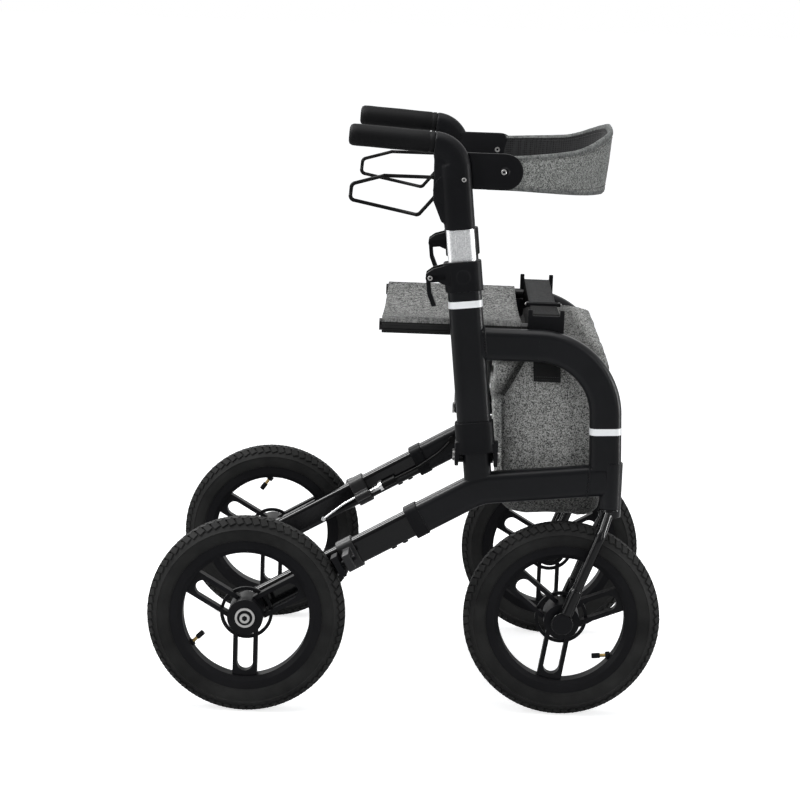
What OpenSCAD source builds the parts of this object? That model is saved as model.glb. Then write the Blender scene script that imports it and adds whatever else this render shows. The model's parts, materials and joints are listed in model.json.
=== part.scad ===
// All terrain rollator: two welded side frames on four pneumatic wheels, joined by a
// scissor of two cross braces, with a sling seat, a bag, a backrest band and sliding handles.
// Millimetres. +X is forward, +Y is the user's left, +Z is up; z = 0 is the ground.

/* [Stance] */
// Distance between the rear axle and the trailing front axles
wheelbase = 478; // [460:1:500]
// Distance between the middle planes of the two side frames
frame_track = 472; // [440:1:500]
// Distance of a front axle behind its swivel axis
caster_trail = 66; // [60:1:72]
// Gap between a rear tyre and the leg beside it
tyre_gap = 9; // [7:1:14]

/* [Wheels] */
// Outer diameter of the tyres
wheel_d = 300; // [290:1:304]
// Width of the tyres
tyre_w = 46; // [42:1:48]
// Thickness of the hollow tyre's rubber
tyre_wall = 4; // [3:0.5:5]
// Radius of the rim where the tyre sits
rim_seat_r = 115; // [113:1:117]
// Radial depth of the rim
rim_depth = 19; // [16:1:22]
// Width of the rim
rim_w = 34; // [32:1:36]
// Radius of the hub
hub_r = 27; // [25:1:29]
// Length of the hub
hub_l = 56; // [52:1:58]
// Width of a double spoke
spoke_w = 37; // [34:1:40]
// Width of the slot in a double spoke
spoke_slot = 24; // [20:1:26]
// Thickness of the spokes along the axle
spoke_t = 16; // [12:1:20]
// Radius of the thin ring round the hub
flange_r = 40; // [37:1:44]
// Radius of the axles
axle_r = 6; // [5:0.5:7]
// Outer radius of the wheel bearings
bearing_r = 14; // [12:1:16]
// Width of a wheel bearing
bearing_w = 8; // [6:1:10]

/* [Side frame] */
// Depth of the hoop and bottom bar tube, in the plane of the side frame
tube_h = 48; // [46:1:50]
// Thickness of the frame tubes across the side frame
tube_t = 30; // [28:1:32]
// Corner radius of the frame tubes
tube_r = 11; // [8:1:12]
// Wall of the frame tubes
tube_wall = 3; // [2.5:0.5:4]
// Depth of the column tube
column_h = 51; // [50:1:53]
// Depth of the narrow stub under the column
stub_h = 42; // [38:1:44]
// Backward lean of the column
column_lean = 6.3; // [5:0.1:7.5]
// Place of the column's foot ahead of the middle of the wheelbase
column_foot_x = 105.5; // [100:0.5:110]
// Height of the bottom bar at the column's foot
bar_z = 347; // [340:1:352]
// Upward slope of the bottom bar towards the front
bar_rise = 6; // [4:0.5:8]
// Height of the hoop's top bar
hoop_z = 568; // [556:1:574]
// Bend radius of the hoop's front corner
hoop_bend = 105; // [95:1:112]
// Forward lean of the hoop's front leg towards its foot
hoop_lean = 2.4; // [1:0.1:4]
// Bend radius of the tube where bottom bar and leg meet
knee_bend = 90; // [70:1:110]
// Radius of the caster head tube
head_r = 16.75; // [16:0.25:18]
// Length of the caster head tube
head_l = 70; // [60:1:76]
// Height of the foot of the caster head tube
head_z = 324; // [320:1:330]

/* [Rear leg] */
// Distance of the leg's end collar from the rear axle
collar_at = 280; // [270:1:290]
// Length of the leg's end collar
collar_l = 21; // [16:1:26]
// Wall of the leg's end collar
collar_wall = 2.2; // [1.5:0.1:3]
// Play of the leg tube in its socket
leg_play = 0.3; // [0.2:0.1:0.5]
// Radius of the grooves along the leg and handle tubes
groove_r = 0.8; // [0.5:0.1:1.2]
// Distance of the grooves from a leg tube's middle
groove_out = 3.6; // [3:0.1:4]
// Radius of the rivet heads under the leg tube
rivet_r = 4.5; // [3:0.5:5]

/* [Brake] */
// Distance of the brake block from the rear axle
brake_at = 163; // [162:1:170]
// Length of the brake block along the leg
brake_l = 26; // [22:1:30]
// Wall of the brake block round the leg
brake_wall = 4; // [3:0.5:6]
// Gap between the shoe and the tyre
shoe_gap = 5; // [4.6:0.1:6]
// Thickness of the brake shoe
shoe_t = 9; // [7:1:11]
// Width of the brake shoe across the tyre
shoe_w = 26; // [20:1:30]
// Radius of the pin that guides the shoe
shoe_pin_r = 4; // [3:0.5:5]
// Radius of the brake cable
cable_r = 2.5; // [2:0.25:3]

/* [Handle] */
// Depth of the sliding handle tube
mast_h = 42; // [40:1:43]
// Thickness of the sliding handle tube
mast_t = 23; // [20:1:24]
// Wall of the sliding handle tube
mast_wall = 2; // [1.5:0.5:3]
// Length of handle tube that shows above the clamp
mast_show = 47; // [44:1:60]
// Length of handle tube inside the column
mast_in = 215; // [180:1:220]
// Height of the clamp at the top of the column
clamp_l = 45; // [40:1:50]
// Wall of the clamp round the column
clamp_wall = 3; // [2.5:0.5:3.5]
// Distance along the column from its foot to the clamp
clamp_at = 302; // [296:1:306]
// Radius of the grips
grip_r = 16; // [15:0.5:17]
// Length of the grips
grip_l = 126; // [110:1:135]
// Upward slope of the grips towards the user
grip_slope = 3.4; // [0:0.2:6]
// Height of the grip's axis where it meets the housing
grip_z = 867; // [862:1:872]
// Thickness of the handle housing across the frame
housing_t = 34; // [32:1:36]
// Bend radius of the housing's elbow
elbow_bend = 37; // [33:1:38]
// Thickness of the housing's boss for the brake
boss_t = 24; // [20:1:28]
// Depth of the housing's neck where it takes the handle tube
housing_h = 46; // [45:1:50]
// Radius of the brake lever's wire
wire_r = 2.5; // [2:0.25:3]
// Length of the brake cables outside the tubes, from block to bar
cable_run = 117; // [112:1:122]
// Length of the brake loop behind its pin
loop_l = 132; // [120:1:144]
// Rise of the brake loop over its pin
loop_rise = 19; // [15:1:22]
// Drop of the brake loop under its pin
loop_drop = 38; // [32:1:44]

/* [Seat and fold] */
// Height of the seat rails
seat_z = 588; // [584:1:590]
// Distance of a seat rail from the middle plane of its side frame
rail_in = 31; // [30:0.5:34]
// Radius of the seat rails
rail_r = 9; // [8:0.5:9.5]
// Length of the seat rails
rail_l = 229; // [222:1:230]
// Place of the rear end of the seat rails
rail_x = -54; // [-60:1:-48]
// Depth of the seat sling from front to rear
seat_l = 210; // [200:1:212]
// Thickness of the seat cloth
cloth = 1.6; // [1:0.2:1.8]
// Sag of the seat in its middle
seat_sag = 9; // [6:1:14]
// Radius of the cross brace tubes
brace_r = 11; // [9:0.5:11.5]
// Distance between the two cross braces along X
brace_step = 24; // [23.5:0.5:26]
// Height of the lower pivots of the cross braces
pivot_z = 391; // [388:1:394]
// Radius of the lower pivot pins
pivot_r = 6; // [5:0.5:7]
// Radius of the bolt where the braces cross
cross_r = 5; // [4:0.5:6]

/* [Backrest and bag] */
// Height of the backrest band at its ends
band_h = 54; // [48:1:58]
// Height of the backrest band in its middle
band_mid_h = 104; // [90:1:108]
// Thickness of the backrest band
band_t = 10; // [8:1:12]
// Reach of the backrest brackets ahead of the grips' ends
bracket_reach = 106; // [100:1:112]
// Reach of the backrest band ahead of its brackets
band_reach = 166; // [150:1:180]
// Thickness of the backrest brackets
bracket_t = 7; // [5:1:9]
// Gap between the bag and the side frames
bag_gap = 9; // [8:1:14]
// Thickness of the bag's wall
bag_wall = 2; // [1.5:0.5:3]
// Width of the webbing strap over the bag
strap_w = 41; // [36:1:44]
// Place of the strap's middle
strap_x = 197; // [196:1:200]

/* [Hidden] */
$fn = 48;
// Running clearance on a radius, and the gap left between pieces that move past each other
run = 0.05;
gap = 0.3;
// A cut runs this far past the faces it opens
past = 1;
// A bend stands proud of the straight tubes that run into its ends
swell = 0.06;

frame_y = frame_track / 2;
wheel_r = wheel_d / 2;
rim_in_r = rim_seat_r - rim_depth;
rear_x = -wheelbase / 2;
front_x = wheelbase / 2;
stem_x = front_x + caster_trail;
rear_axle = [rear_x, wheel_r];

// Frame lines in the X-Z plane
bar_dir = [cos(bar_rise), sin(bar_rise)];
column_dir = [-sin(column_lean), cos(column_lean)];
column_foot = [column_foot_x, bar_z];
leg_dir = (column_foot - rear_axle) / norm(column_foot - rear_axle);
leg_turn = atan2(leg_dir[1], leg_dir[0]);
hoop_corner = [stem_x - tan(hoop_lean) * (hoop_z - head_z) - (tube_h / 2 - head_r), hoop_z];
hoop_foot_z = head_z + 0.85 * head_l;
hoop_foot = hoop_corner + [tan(hoop_lean), -1] * (hoop_z - hoop_foot_z);
column_t = tube_t + 2;
stub_t = tube_t - 2;
column_low = 60;
column_core = column_low + 22;
leg_h = tube_h - 2 * tube_wall - 2 * leg_play;
leg_t = tube_t - 2 * tube_wall - 2 * leg_play;
leg_r = tube_r - tube_wall - leg_play;
rear_y = frame_y + leg_t / 2 + tyre_gap + tyre_w / 2;

// Handle sizes along the column's own line, from its foot
clamp_top = clamp_at + clamp_l;
mast_top = clamp_top + mast_show;
clamp_t = column_t + 2 * clamp_wall;
clamp_h = column_h + 2 * clamp_wall;
column_top = clamp_at + 0.7 * clamp_l;
mast_r = mast_t / 2 - 3;
lever_pin = [-column_h / 2 - 24, clamp_at + 0.55 * clamp_l];
lever_pin_r = 2.5;
lever_ear = 6;
lever_w = 24;
grip_core_r = grip_r - 5;
grip_meet_x = column_foot_x - tan(column_lean) * (grip_z - bar_z) - 28;
neck = column_foot + column_dir * mast_top;
brake_pin = [grip_meet_x + 9, grip_z - 71];
brake_pin_r = 3;
brake_cam_r = 9;
brake_cam_t = 6;

// Fold sizes
rail_y = frame_y - rail_in;
brace_x = column_foot_x - tan(column_lean) * (pivot_z - bar_z) - 1;
rear_brace_x = brace_x - brace_step / 2;
front_brace_x = brace_x + brace_step / 2;
lug_t = 6;
lug_out = column_h / 2 + 1;
cross_z = (pivot_z + seat_z) / 2;
seat_x = rail_x + 4;
hem_r = rail_r + gap + cloth;
hook_t = 5;
hook_ear = 7;
rest_x = seat_x + seat_l + 2;
rest_l = strap_x - strap_w / 2 - hook_ear - rest_x;

// Bag outline in the X-Z plane, round numbers read off the hanging bag
bag_top = 594;
bag_tuck = brace_x + lug_out + lug_t + 6;
bag_side = [
  [140, 310], [219, 303], [286, 310], [302, 345], [306, 505], [303, 545], [264, bag_top],
  [177, bag_top], [174, seat_z - 26], [130, seat_z - 50], [124, 338]
];
bag_y = frame_y - tube_t / 2 - bag_gap;
strap_z = hoop_z + tube_h / 2 + 19;
strap_t = 2;

// A direction turned a quarter turn towards +Z
function quarter(v) = [-v[1], v[0]];
function unit(v) = v / norm(v);
function lap(bend) = sqrt(swell * bend);
// Outline moved in by a wall, its points running anticlockwise
function inset(points, wall) = [
  for (i = [0 : len(points) - 1]) let (n = len(points), p = points[i],
    a = quarter(unit(p - points[(i + n - 1) % n])), b = quarter(unit(points[(i + 1) % n] - p)))
  p + wall * (a + b) / (1 + a * b)];
function leg_point(along, aside = 0) = rear_axle + leg_dir * along + quarter(leg_dir) * aside;

// Rounded rectangle, h along X and t along Y
module oval(h, t, r) {
  square([h - 2 * r, t], center = true);
  square([h, t - 2 * r], center = true);
  for (x = [-1, 1], y = [-1, 1]) translate([x * (h / 2 - r), y * (t / 2 - r)]) circle(r);
}

// Straight tube from p to q in the X-Z plane
module bar(p, q, h, t, r) {
  d = q - p;
  translate([p[0], 0, p[1]]) rotate([0, atan2(d[0], d[1]), 0]) linear_extrude(norm(d)) oval(h, t, r);
}

// Tube through p, q and s in the X-Z plane, bent at q
module bent_bar(p, q, s, bend, h, t, r) {
  u = unit(p - q);
  v = unit(s - q);
  half = acos(u * v) / 2;
  reach = bend / tan(half);
  c = q + unit(u + v) * bend / sin(half);
  from = atan2((q + u * reach - c)[1], (q + u * reach - c)[0]);
  turn = atan2((q + v * reach - c)[1], (q + v * reach - c)[0]) - from;
  sweep = turn > 180 ? turn - 360 : turn < -180 ? turn + 360 : turn;
  bar(p, q + u * (reach - lap(bend)), h, t, r);
  bar(q + v * (reach - lap(bend)), s, h, t, r);
  translate([c[0], 0, c[1]]) rotate([90, 0, 0]) rotate([0, 0, min(from, from + sweep)])
    rotate_extrude(angle = abs(sweep)) translate([bend, 0]) oval(h + 2 * swell, t + 2 * swell, r + swell);
}

// Round wire through a list of points in the X-Z plane, with a rounded bend at each inner point
module wire(points, bend, r) {
  last = len(points) - 1;
  function reach(i) = i == 0 || i == last ? 0
    : bend / tan(acos(unit(points[i - 1] - points[i]) * unit(points[i + 1] - points[i])) / 2);
  for (i = [0 : last - 1]) {
    d = unit(points[i + 1] - points[i]);
    p = points[i] + d * (i == 0 ? 0 : reach(i) - lap(bend));
    q = points[i + 1] - d * (i + 1 == last ? 0 : reach(i + 1) - lap(bend));
    translate([p[0], 0, p[1]]) rotate([0, atan2(d[0], d[1]), 0]) cylinder(norm(q - p), r, r);
  }
  for (i = [1 : last - 1]) {
    u = unit(points[i - 1] - points[i]);
    v = unit(points[i + 1] - points[i]);
    c = points[i] + unit(u + v) * bend / sin(acos(u * v) / 2);
    a = points[i] + u * reach(i) - c;
    b = points[i] + v * reach(i) - c;
    from = atan2(a[1], a[0]);
    turn = atan2(b[1], b[0]) - from;
    sweep = turn > 180 ? turn - 360 : turn < -180 ? turn + 360 : turn;
    translate([c[0], 0, c[1]]) rotate([90, 0, 0]) rotate([0, 0, min(from, from + sweep)])
      rotate_extrude(angle = abs(sweep)) translate([bend, 0]) circle(r + swell);
  }
}

// Round bar between two points in space
module strut(p, q, r) {
  d = q - p;
  translate(p) rotate([0, acos(d[2] / norm(d)), atan2(d[1], d[0])]) cylinder(norm(d), r, r);
}

// Places a child that is drawn in X-Z and extruded along Y, centred on the side frame's plane
module across(t) translate([0, t / 2, 0]) rotate([90, 0, 0]) linear_extrude(t) children();

// Turns a shape drawn round Z so that it stands round Y, with its top on the outer side
module about_axle() rotate([90, 0, 0]) children();

// Everything of the right side is drawn at its place; the left side mirrors it
module on_side(s) {
  if (s < 0) children();
  else mirror([0, 1, 0]) children();
}
module on_frame() translate([0, -frame_y, 0]) children();
module on_column() translate([column_foot[0], 0, column_foot[1]]) rotate([0, -column_lean, 0]) children();
module on_leg(along) {
  at = leg_point(along);
  translate([at[0], 0, at[1]]) rotate([0, 90 - leg_turn, 0]) children();
}

// Side frames
module frame_tubes(shrink) {
  h = tube_h - 2 * shrink;
  t = tube_t - 2 * shrink;
  r = tube_r - shrink;
  hoop_from = column_foot + column_dir * ((hoop_z - bar_z) / cos(column_lean))
    + [shrink > 0 ? column_h / 2 + shrink : 0, 0];
  hoop_to = hoop_foot + unit(hoop_corner - hoop_foot) * shrink;
  bent_bar(hoop_from, hoop_corner, hoop_to, hoop_bend, h, t, r);
  leg_end = leg_point(collar_at + tube_wall - (shrink > 0 ? past : 0));
  bar_end = column_foot + bar_dir * ((stem_x - 8 - column_foot_x - 4 * shrink) / cos(bar_rise));
  bent_bar(leg_end, column_foot, bar_end, knee_bend, h, t, r);
  on_column() {
    translate([0, 0, column_low + (shrink > 0 ? column_core - column_low : 0)])
      linear_extrude(column_top - column_low + (shrink > 0 ? past - column_core + column_low : 0))
        oval(column_h - 2 * shrink, column_t - 2 * shrink, tube_r + 1 - shrink);
    translate([0, 0, shrink > 0 ? tube_h / 2 : 0]) linear_extrude(column_core - (shrink > 0 ? tube_h / 2 : 0))
      oval(stub_h - 2 * shrink, stub_t - 2 * shrink, tube_r - shrink);
  }
}

module side_frame_shape() {
  vent_r = 4;
  cradle_t = 12;
  difference() {
    union() {
      frame_tubes(0);
      translate([stem_x, 0, head_z]) cylinder(head_l, head_r, head_r);
      translate([rest_x, 0, seat_z - hem_r - cradle_t])
        cube([rest_l, rail_in + rail_r, cradle_t + 4]);
    }
    frame_tubes(tube_wall);
    translate([stem_x, 0, head_z - past]) cylinder(head_l - 4 + past, stem_r + run, stem_r + run);
    translate([column_foot_x, 0, hoop_z]) rotate([0, 90, 0]) cylinder(column_h, vent_r, vent_r);
    translate([rest_x - past, rail_in, seat_z]) rotate([0, 90, 0])
      cylinder(rest_l + 2 * past, rail_r + gap, rail_r + gap);
    translate([rest_x - past, rail_in - rail_r - gap, seat_z])
      cube([rest_l + 2 * past, 2 * (rail_r + gap), rail_r]);
  }
}
stem_r = 8;
module side_frame(s) color("#1b1c1f") on_side(s) on_frame() side_frame_shape();

// Telescoping leg tube, round-ended at the axle
module leg_tube(s) color("#17181a") on_side(s) on_frame() difference() {
  leg_in = 38;
  core = leg_h - 2 * tube_wall;
  union() {
    bar(rear_axle, leg_point(collar_at + leg_in), leg_h, leg_t, leg_r);
    translate([rear_x, 0, wheel_r]) about_axle() cylinder(leg_t - 2, leg_h / 2 + 1, leg_h / 2 + 1, center = true);
    for (i = [0, 1]) on_leg(collar_at - 20 - 19 * i) translate([leg_h / 2 - 1, 0, 0])
      rotate([0, 90, 0]) cylinder(3.5, rivet_r, rivet_r);
  }
  bar(leg_point(leg_h), leg_point(collar_at + leg_in + past), core, leg_t - 2 * tube_wall, 2);
  for (e = [-1, 1], f = [-1, 1]) on_leg(leg_h) translate([e * leg_h / 2, f * groove_out, 0])
    cylinder(collar_at + leg_in, groove_r, groove_r);
  translate([rear_x, 0, wheel_r]) about_axle() cylinder(leg_t + 2 * past, axle_r, axle_r, center = true);
}

// Plastic collar over the open end of the frame's leg socket
module leg_collar(s) color("#202124") on_side(s) on_frame() difference() {
  bar(leg_point(collar_at), leg_point(collar_at + collar_l), tube_h + 2 * collar_wall,
    tube_t + 2 * collar_wall, tube_r + collar_wall);
  bar(leg_point(collar_at + tube_wall), leg_point(collar_at + collar_l + past), tube_h, tube_t, tube_r);
  bar(leg_point(collar_at - past), leg_point(collar_at + tube_wall + past), leg_h, leg_t, leg_r);
}

// Sleeve round the column's lower end, with two lugs for the brace's pivot
module brace_bracket(s) color("#2a2b2f") on_side(s) on_frame() {
  sleeve_wall = 3.8;
  sleeve_l = 48;
  difference() {
    union() {
      on_column() translate([0, 0, column_low - 4])
        linear_extrude(sleeve_l) oval(column_h + 2 * sleeve_wall, column_t + 2 * sleeve_wall, tube_r + 4);
      for (e = [-1, 1]) translate([brace_x + e * (lug_out + lug_t / 2) - lug_t / 2, -column_t / 2, pivot_z - 8])
        cube([lug_t, column_t / 2 + rail_in + pivot_r + 3, 36]);
    }
    on_column() translate([0, 0, column_low]) linear_extrude(sleeve_l) oval(column_h, column_t, tube_r + 1);
    on_column() linear_extrude(column_low + past) oval(stub_h, stub_t, tube_r);
    translate([brace_x, rail_in, pivot_z]) rotate([0, 90, 0])
      cylinder(4 * column_h, pivot_r, pivot_r, center = true);
    translate([brace_x - column_h, rail_in - brace_r - 3, pivot_z + 10])
      cube([2 * column_h, 3 * brace_r, 40]);
  }
}

// Pivot pin with a head at each end
module pivot_pin(s) color("silver") on_side(s) on_frame() translate([brace_x, rail_in, pivot_z]) rotate([0, 90, 0]) {
  reach = lug_out + lug_t;
  cylinder(2 * reach, pivot_r, pivot_r, center = true);
  for (e = [-1, 1]) translate([0, 0, e * (reach + 1.5)]) cylinder(3, pivot_r + 3, pivot_r + 3, center = true);
}

// Brake block on the leg, with an arm that reaches out to the tyre
arm_t = 12;
arm_from = wheel_r + shoe_gap + shoe_t + 6;
wheel_out = rear_y - frame_y;
module brake_housing(s) color("#6d6f72") on_side(s) on_frame() difference() {
  arm_drop = leg_h / 2 + brake_wall;
  union() {
    bar(leg_point(brake_at), leg_point(brake_at + brake_l), leg_h + 2 * brake_wall,
      leg_t + 2 * brake_wall, leg_r + brake_wall);
    on_leg(arm_from) translate([-arm_drop / 2, -wheel_out - shoe_w / 2, 0])
      cube([arm_drop, wheel_out + shoe_w / 2 - leg_t / 2, arm_t]);
    on_leg(brake_at) {
      cube([14, cable_y, brake_l]);
      translate([7, cable_y, 0]) cylinder(brake_l, 7, 7);
    }
  }
  bar(leg_point(brake_at - past), leg_point(brake_at + brake_l + 2 * past), leg_h, leg_t, leg_r);
  on_leg(arm_from - past) translate([0, -wheel_out, 0])
    cylinder(arm_t + 2 * past, shoe_pin_r + run, shoe_pin_r + run);
}

// Brake shoe hollowed to the tyre's round, on its guide pin
module brake_shoe(s) color("#26272a") on_side(s) on_frame() translate([0, -wheel_out, 0]) difference() {
  shoe_h = 34;
  face = wheel_r + shoe_gap;
  union() {
    on_leg(face - 4) translate([-shoe_h / 2, -shoe_w / 2, 0]) cube([shoe_h, shoe_w, shoe_t + 4]);
    on_leg(face) cylinder(arm_from + arm_t + 5 - face, shoe_pin_r, shoe_pin_r);
  }
  translate([rear_x, 0, wheel_r]) about_axle() cylinder(2 * shoe_w, face, face, center = true, $fn = 96);
}

// Cable along the inner side of the leg, its barrel adjuster, and the return rod behind the block
cable_y = tube_t / 2 + collar_wall + cable_r + 1;
cable_from = brake_at + brake_l + 50;
cable_route = [for (p = [[cable_from, -7], [cable_from + 0.4 * cable_run, -7],
  [cable_from + 0.74 * cable_run, -2], [cable_from + cable_run, 8]])
  leg_point(p[0], p[1])];
module brake_cable(s) color("#111213") on_side(s) on_frame() {
  barrel_at = brake_at + brake_l;
  end = cable_route[len(cable_route) - 1];
  at = leg_point(barrel_at, -7);
  anchor = leg_point(brake_at - 66, -13);
  translate([0, cable_y, 0]) wire(cable_route, 40, cable_r);
  translate([end[0], tube_t / 2, end[1]]) rotate([-90, 0, 0]) cylinder(cable_y + cable_r + 1 - tube_t / 2, 6, 6);
  translate([at[0], cable_y, at[1]]) rotate([0, 90 - leg_turn, 0]) {
    cylinder(20, 4, 4);
    translate([0, 0, 20]) cylinder(5, 7.5, 7.5);
    translate([0, 0, 25]) cylinder(25, 6.5, 6.5);
  }
  translate([0, leg_t / 2 + 4, 0]) wire([leg_point(brake_at, -5), leg_point(brake_at - 25, -6), anchor], 30, 1.6);
  translate([anchor[0], leg_t / 2, anchor[1]]) rotate([-90, 0, 0]) cylinder(7, 3.5, 3.5);
}

// Height clamp on the column's top, with ears for its lever
module height_clamp(s) color("#232427") on_side(s) on_frame() on_column() difference() {
  ear_r = 7;
  union() {
    translate([0, 0, clamp_at]) linear_extrude(clamp_l) oval(clamp_h, clamp_t, tube_r + clamp_wall);
    for (e = [-1, 1]) translate([0, e * (lever_w / 2 + gap + lever_ear / 2), 0]) {
      translate([lever_pin[0], 0, lever_pin[1]]) about_axle() cylinder(lever_ear, ear_r, ear_r, center = true);
      translate([lever_pin[0], -lever_ear / 2, lever_pin[1] - ear_r])
        cube([-lever_pin[0] - column_h / 2 + 2, lever_ear, 2 * ear_r]);
    }
    translate([lever_pin[0], 0, lever_pin[1]]) about_axle()
      cylinder(lever_w + 2 * lever_ear, lever_pin_r, lever_pin_r, center = true);
    translate([0, -clamp_t / 2, clamp_at + clamp_l / 2]) about_axle() cylinder(1.2, 10, 10);
  }
  translate([0, 0, clamp_at - past]) linear_extrude(column_top - clamp_at + past)
    oval(column_h, column_t, tube_r + 1);
  translate([0, 0, clamp_at - past]) linear_extrude(clamp_l + 2 * past)
    oval(mast_h + 2 * gap, mast_t + 2 * gap, mast_r + gap);
}

module clamp_lever(s) color("#1d1e20") on_side(s) on_frame() on_column() translate([lever_pin[0], 0, lever_pin[1]])
  difference() {
    across(lever_w) union() {
      circle(6.5);
      polygon([[-6.5, 0], [-6.5, -24], [-1, -44], [6, -43], [0, -22], [0, 0]]);
    }
    about_axle() cylinder(lever_w + 2 * past, lever_pin_r + run, lever_pin_r + run, center = true);
  }

// Sliding handle tube, and the moulded housing that turns it to the grip
module handle_tube(s) color("#b9bbbd") on_side(s) on_frame() on_column() difference() {
  translate([0, 0, clamp_top - mast_in]) linear_extrude(mast_in + mast_show + 40) oval(mast_h, mast_t, mast_r);
  translate([0, 0, clamp_top - mast_in - past]) linear_extrude(mast_in + mast_show + 42)
    oval(mast_h - 2 * mast_wall, mast_t - 2 * mast_wall, mast_r - mast_wall);
  for (e = [-1, 1], f = [-1, 1]) translate([f * 2 * groove_out, e * mast_t / 2, clamp_top - mast_in - past])
    cylinder(mast_in + mast_show + 42, groove_r, groove_r);
}

// Where two lines cross, each given by a point and a direction
function meet(p, u, q, v) = p + u * ((q - p) * quarter(v)) / (u * quarter(v));
grip_dir = [-cos(grip_slope), sin(grip_slope)];
elbow_h = 2 * grip_r + 6;
elbow_low = grip_r - elbow_h / 2;
elbow_out = (housing_h - elbow_h) / 2;
elbow_on = [grip_meet_x, grip_z] - quarter(grip_dir) * elbow_low;
elbow_from = neck - quarter(column_dir) * elbow_out;
elbow = meet(elbow_from, column_dir, elbow_on, grip_dir);
module on_grip() translate([grip_meet_x, 0, grip_z]) rotate([0, -90 + grip_slope, 0]) children();
module housing_body() {
  top = norm(elbow - elbow_from) - 26;
  bar(neck, neck + column_dir * top, housing_h, housing_t, housing_t / 2 - 4);
  bent_bar(elbow_from + column_dir * 20, elbow, elbow_on, elbow_bend, elbow_h, housing_t - 1, housing_t / 2 - 3);
  across(boss_t) polygon([
    [grip_meet_x, grip_z - grip_r - 2], [grip_meet_x, brake_pin[1] - 14], [grip_meet_x + 14, neck[1] + 10],
    neck + column_dir * 10, elbow_from + column_dir * top, [grip_meet_x + 20, grip_z - grip_r + 2]]);
}
module housing_solid() {
  slot_t = brake_cam_t + 2 * gap + 1;
  difference() {
    union() {
      housing_body();
      on_grip() translate([0, 0, -past]) cylinder(grip_l - 12 + past, grip_core_r, grip_core_r);
    }
    on_column() translate([0, 0, mast_top - past]) linear_extrude(40 + 2 * past) oval(mast_h, mast_t, mast_r);
    difference() {
      translate([grip_meet_x - past, -slot_t / 2, brake_pin[1] - loop_rise]) cube([32, slot_t, 2 * loop_rise + 8]);
      translate([brake_pin[0], 0, brake_pin[1]]) about_axle()
        cylinder(2 * slot_t, brake_pin_r, brake_pin_r, center = true);
    }
  }
}
module handle_housing(s) color("#1f2023") on_side(s) on_frame() housing_solid();

module grip(s) color("#2b2c2e") on_side(s) on_frame() on_grip()
  difference() {
    union() {
      cylinder(grip_l - 5, grip_r, grip_r);
      translate([0, 0, grip_l - 5]) rotate_extrude() {
        square([grip_r - 5, 5]);
        intersection() {
          translate([grip_r - 5, 0]) circle(5);
          square([grip_r, 5]);
        }
      }
    }
    translate([0, 0, -past]) cylinder(grip_l - 12 + past, grip_core_r, grip_core_r);
  }

// Wire loop that the hand pulls up, on a cam inside the housing
loop_wire = [for (p = [
  [0, 0], [-6, loop_rise], [50 - loop_l, loop_rise], [2 - loop_l, 5], [-loop_l, -18],
  [-30, -loop_drop], [-8, -12], [0, 0]]) brake_pin + p];
module brake_lever(s) color("#0f1011") on_side(s) on_frame() difference() {
  union() {
    wire(loop_wire, 7, wire_r);
    translate([brake_pin[0], 0, brake_pin[1]]) about_axle()
      cylinder(brake_cam_t, brake_cam_r, brake_cam_r, center = true);
  }
  translate([brake_pin[0], 0, brake_pin[1]]) about_axle()
    cylinder(4 * brake_cam_r, brake_pin_r + run, brake_pin_r + run, center = true);
}

// Flat arm that carries one end of the backrest
bracket_y = housing_t / 2 - 11;
bracket_x = grip_meet_x + bracket_reach;
bracket_z = grip_z - 41;
module backrest_bracket(s) color("#222326") on_side(s) on_frame() {
  difference() {
    translate([0, bracket_y, 0]) across(bracket_t) union() {
      translate([grip_meet_x + 36, bracket_z - band_h / 2]) square([bracket_x - grip_meet_x - 36, band_h]);
      translate([bracket_x, bracket_z]) circle(band_h / 2);
    }
    housing_body();
  }
  translate([bracket_x, bracket_y - bracket_t / 2, bracket_z]) about_axle() cylinder(2, 6, 6);
}

// Scissor of the fold: each brace has a sleeve on its lower pin and a rail at its top
module brace_line(x, s, r) strut([x, s * rail_y, pivot_z], [x, -s * rail_y, seat_z], r);
module brace(x, s) {
  from = [x, s * rail_y, pivot_z];
  to = [x, -s * rail_y, seat_z];
  difference() {
    union() {
      brace_line(x, s, brace_r);
      translate([brace_x, from[1], pivot_z]) rotate([0, 90, 0])
        cylinder(2 * (lug_out - gap), brace_r, brace_r, center = true);
    }
    translate([brace_x, from[1], pivot_z]) rotate([0, 90, 0])
      cylinder(3 * lug_out, pivot_r + run, pivot_r + run, center = true);
    translate([x, to[1], seat_z]) rotate([0, 90, 0]) cylinder(4 * brace_r, rail_r, rail_r, center = true);
    translate(to + (to - from) / norm(to - from) * rail_r) rotate([0, 90, 0])
      cylinder(4 * brace_r, rail_r, rail_r, center = true);
    translate([x, 0, cross_z]) rotate([0, 90, 0])
      cylinder(4 * brace_r, cross_r + (s > 0 ? run : 0), cross_r + (s > 0 ? run : 0), center = true);
  }
}
module rear_cross_brace() color("#191a1c") brace(rear_brace_x, -1);
module front_cross_brace() color("#191a1c") brace(front_brace_x, 1);

module seat_rail(s) color("#141517") translate([rail_x, s * rail_y, seat_z]) rotate([0, 90, 0]) difference() {
  cylinder(rail_l, rail_r, rail_r);
  translate([0, 0, 3]) cylinder(rail_l, rail_r - 2, rail_r - 2);
}

module cross_pivot() color("silver") translate([0, 0, cross_z]) {
  low = rear_brace_x - brace_r;
  high = front_brace_x + brace_r;
  translate([low, 0, 0]) rotate([0, 90, 0]) cylinder(high - low + gap, cross_r, cross_r);
  for (x = [low - 4, high + gap]) translate([x, 0, 0]) rotate([0, 90, 0]) cylinder(4, cross_r + 4, cross_r + 4);
}

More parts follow.
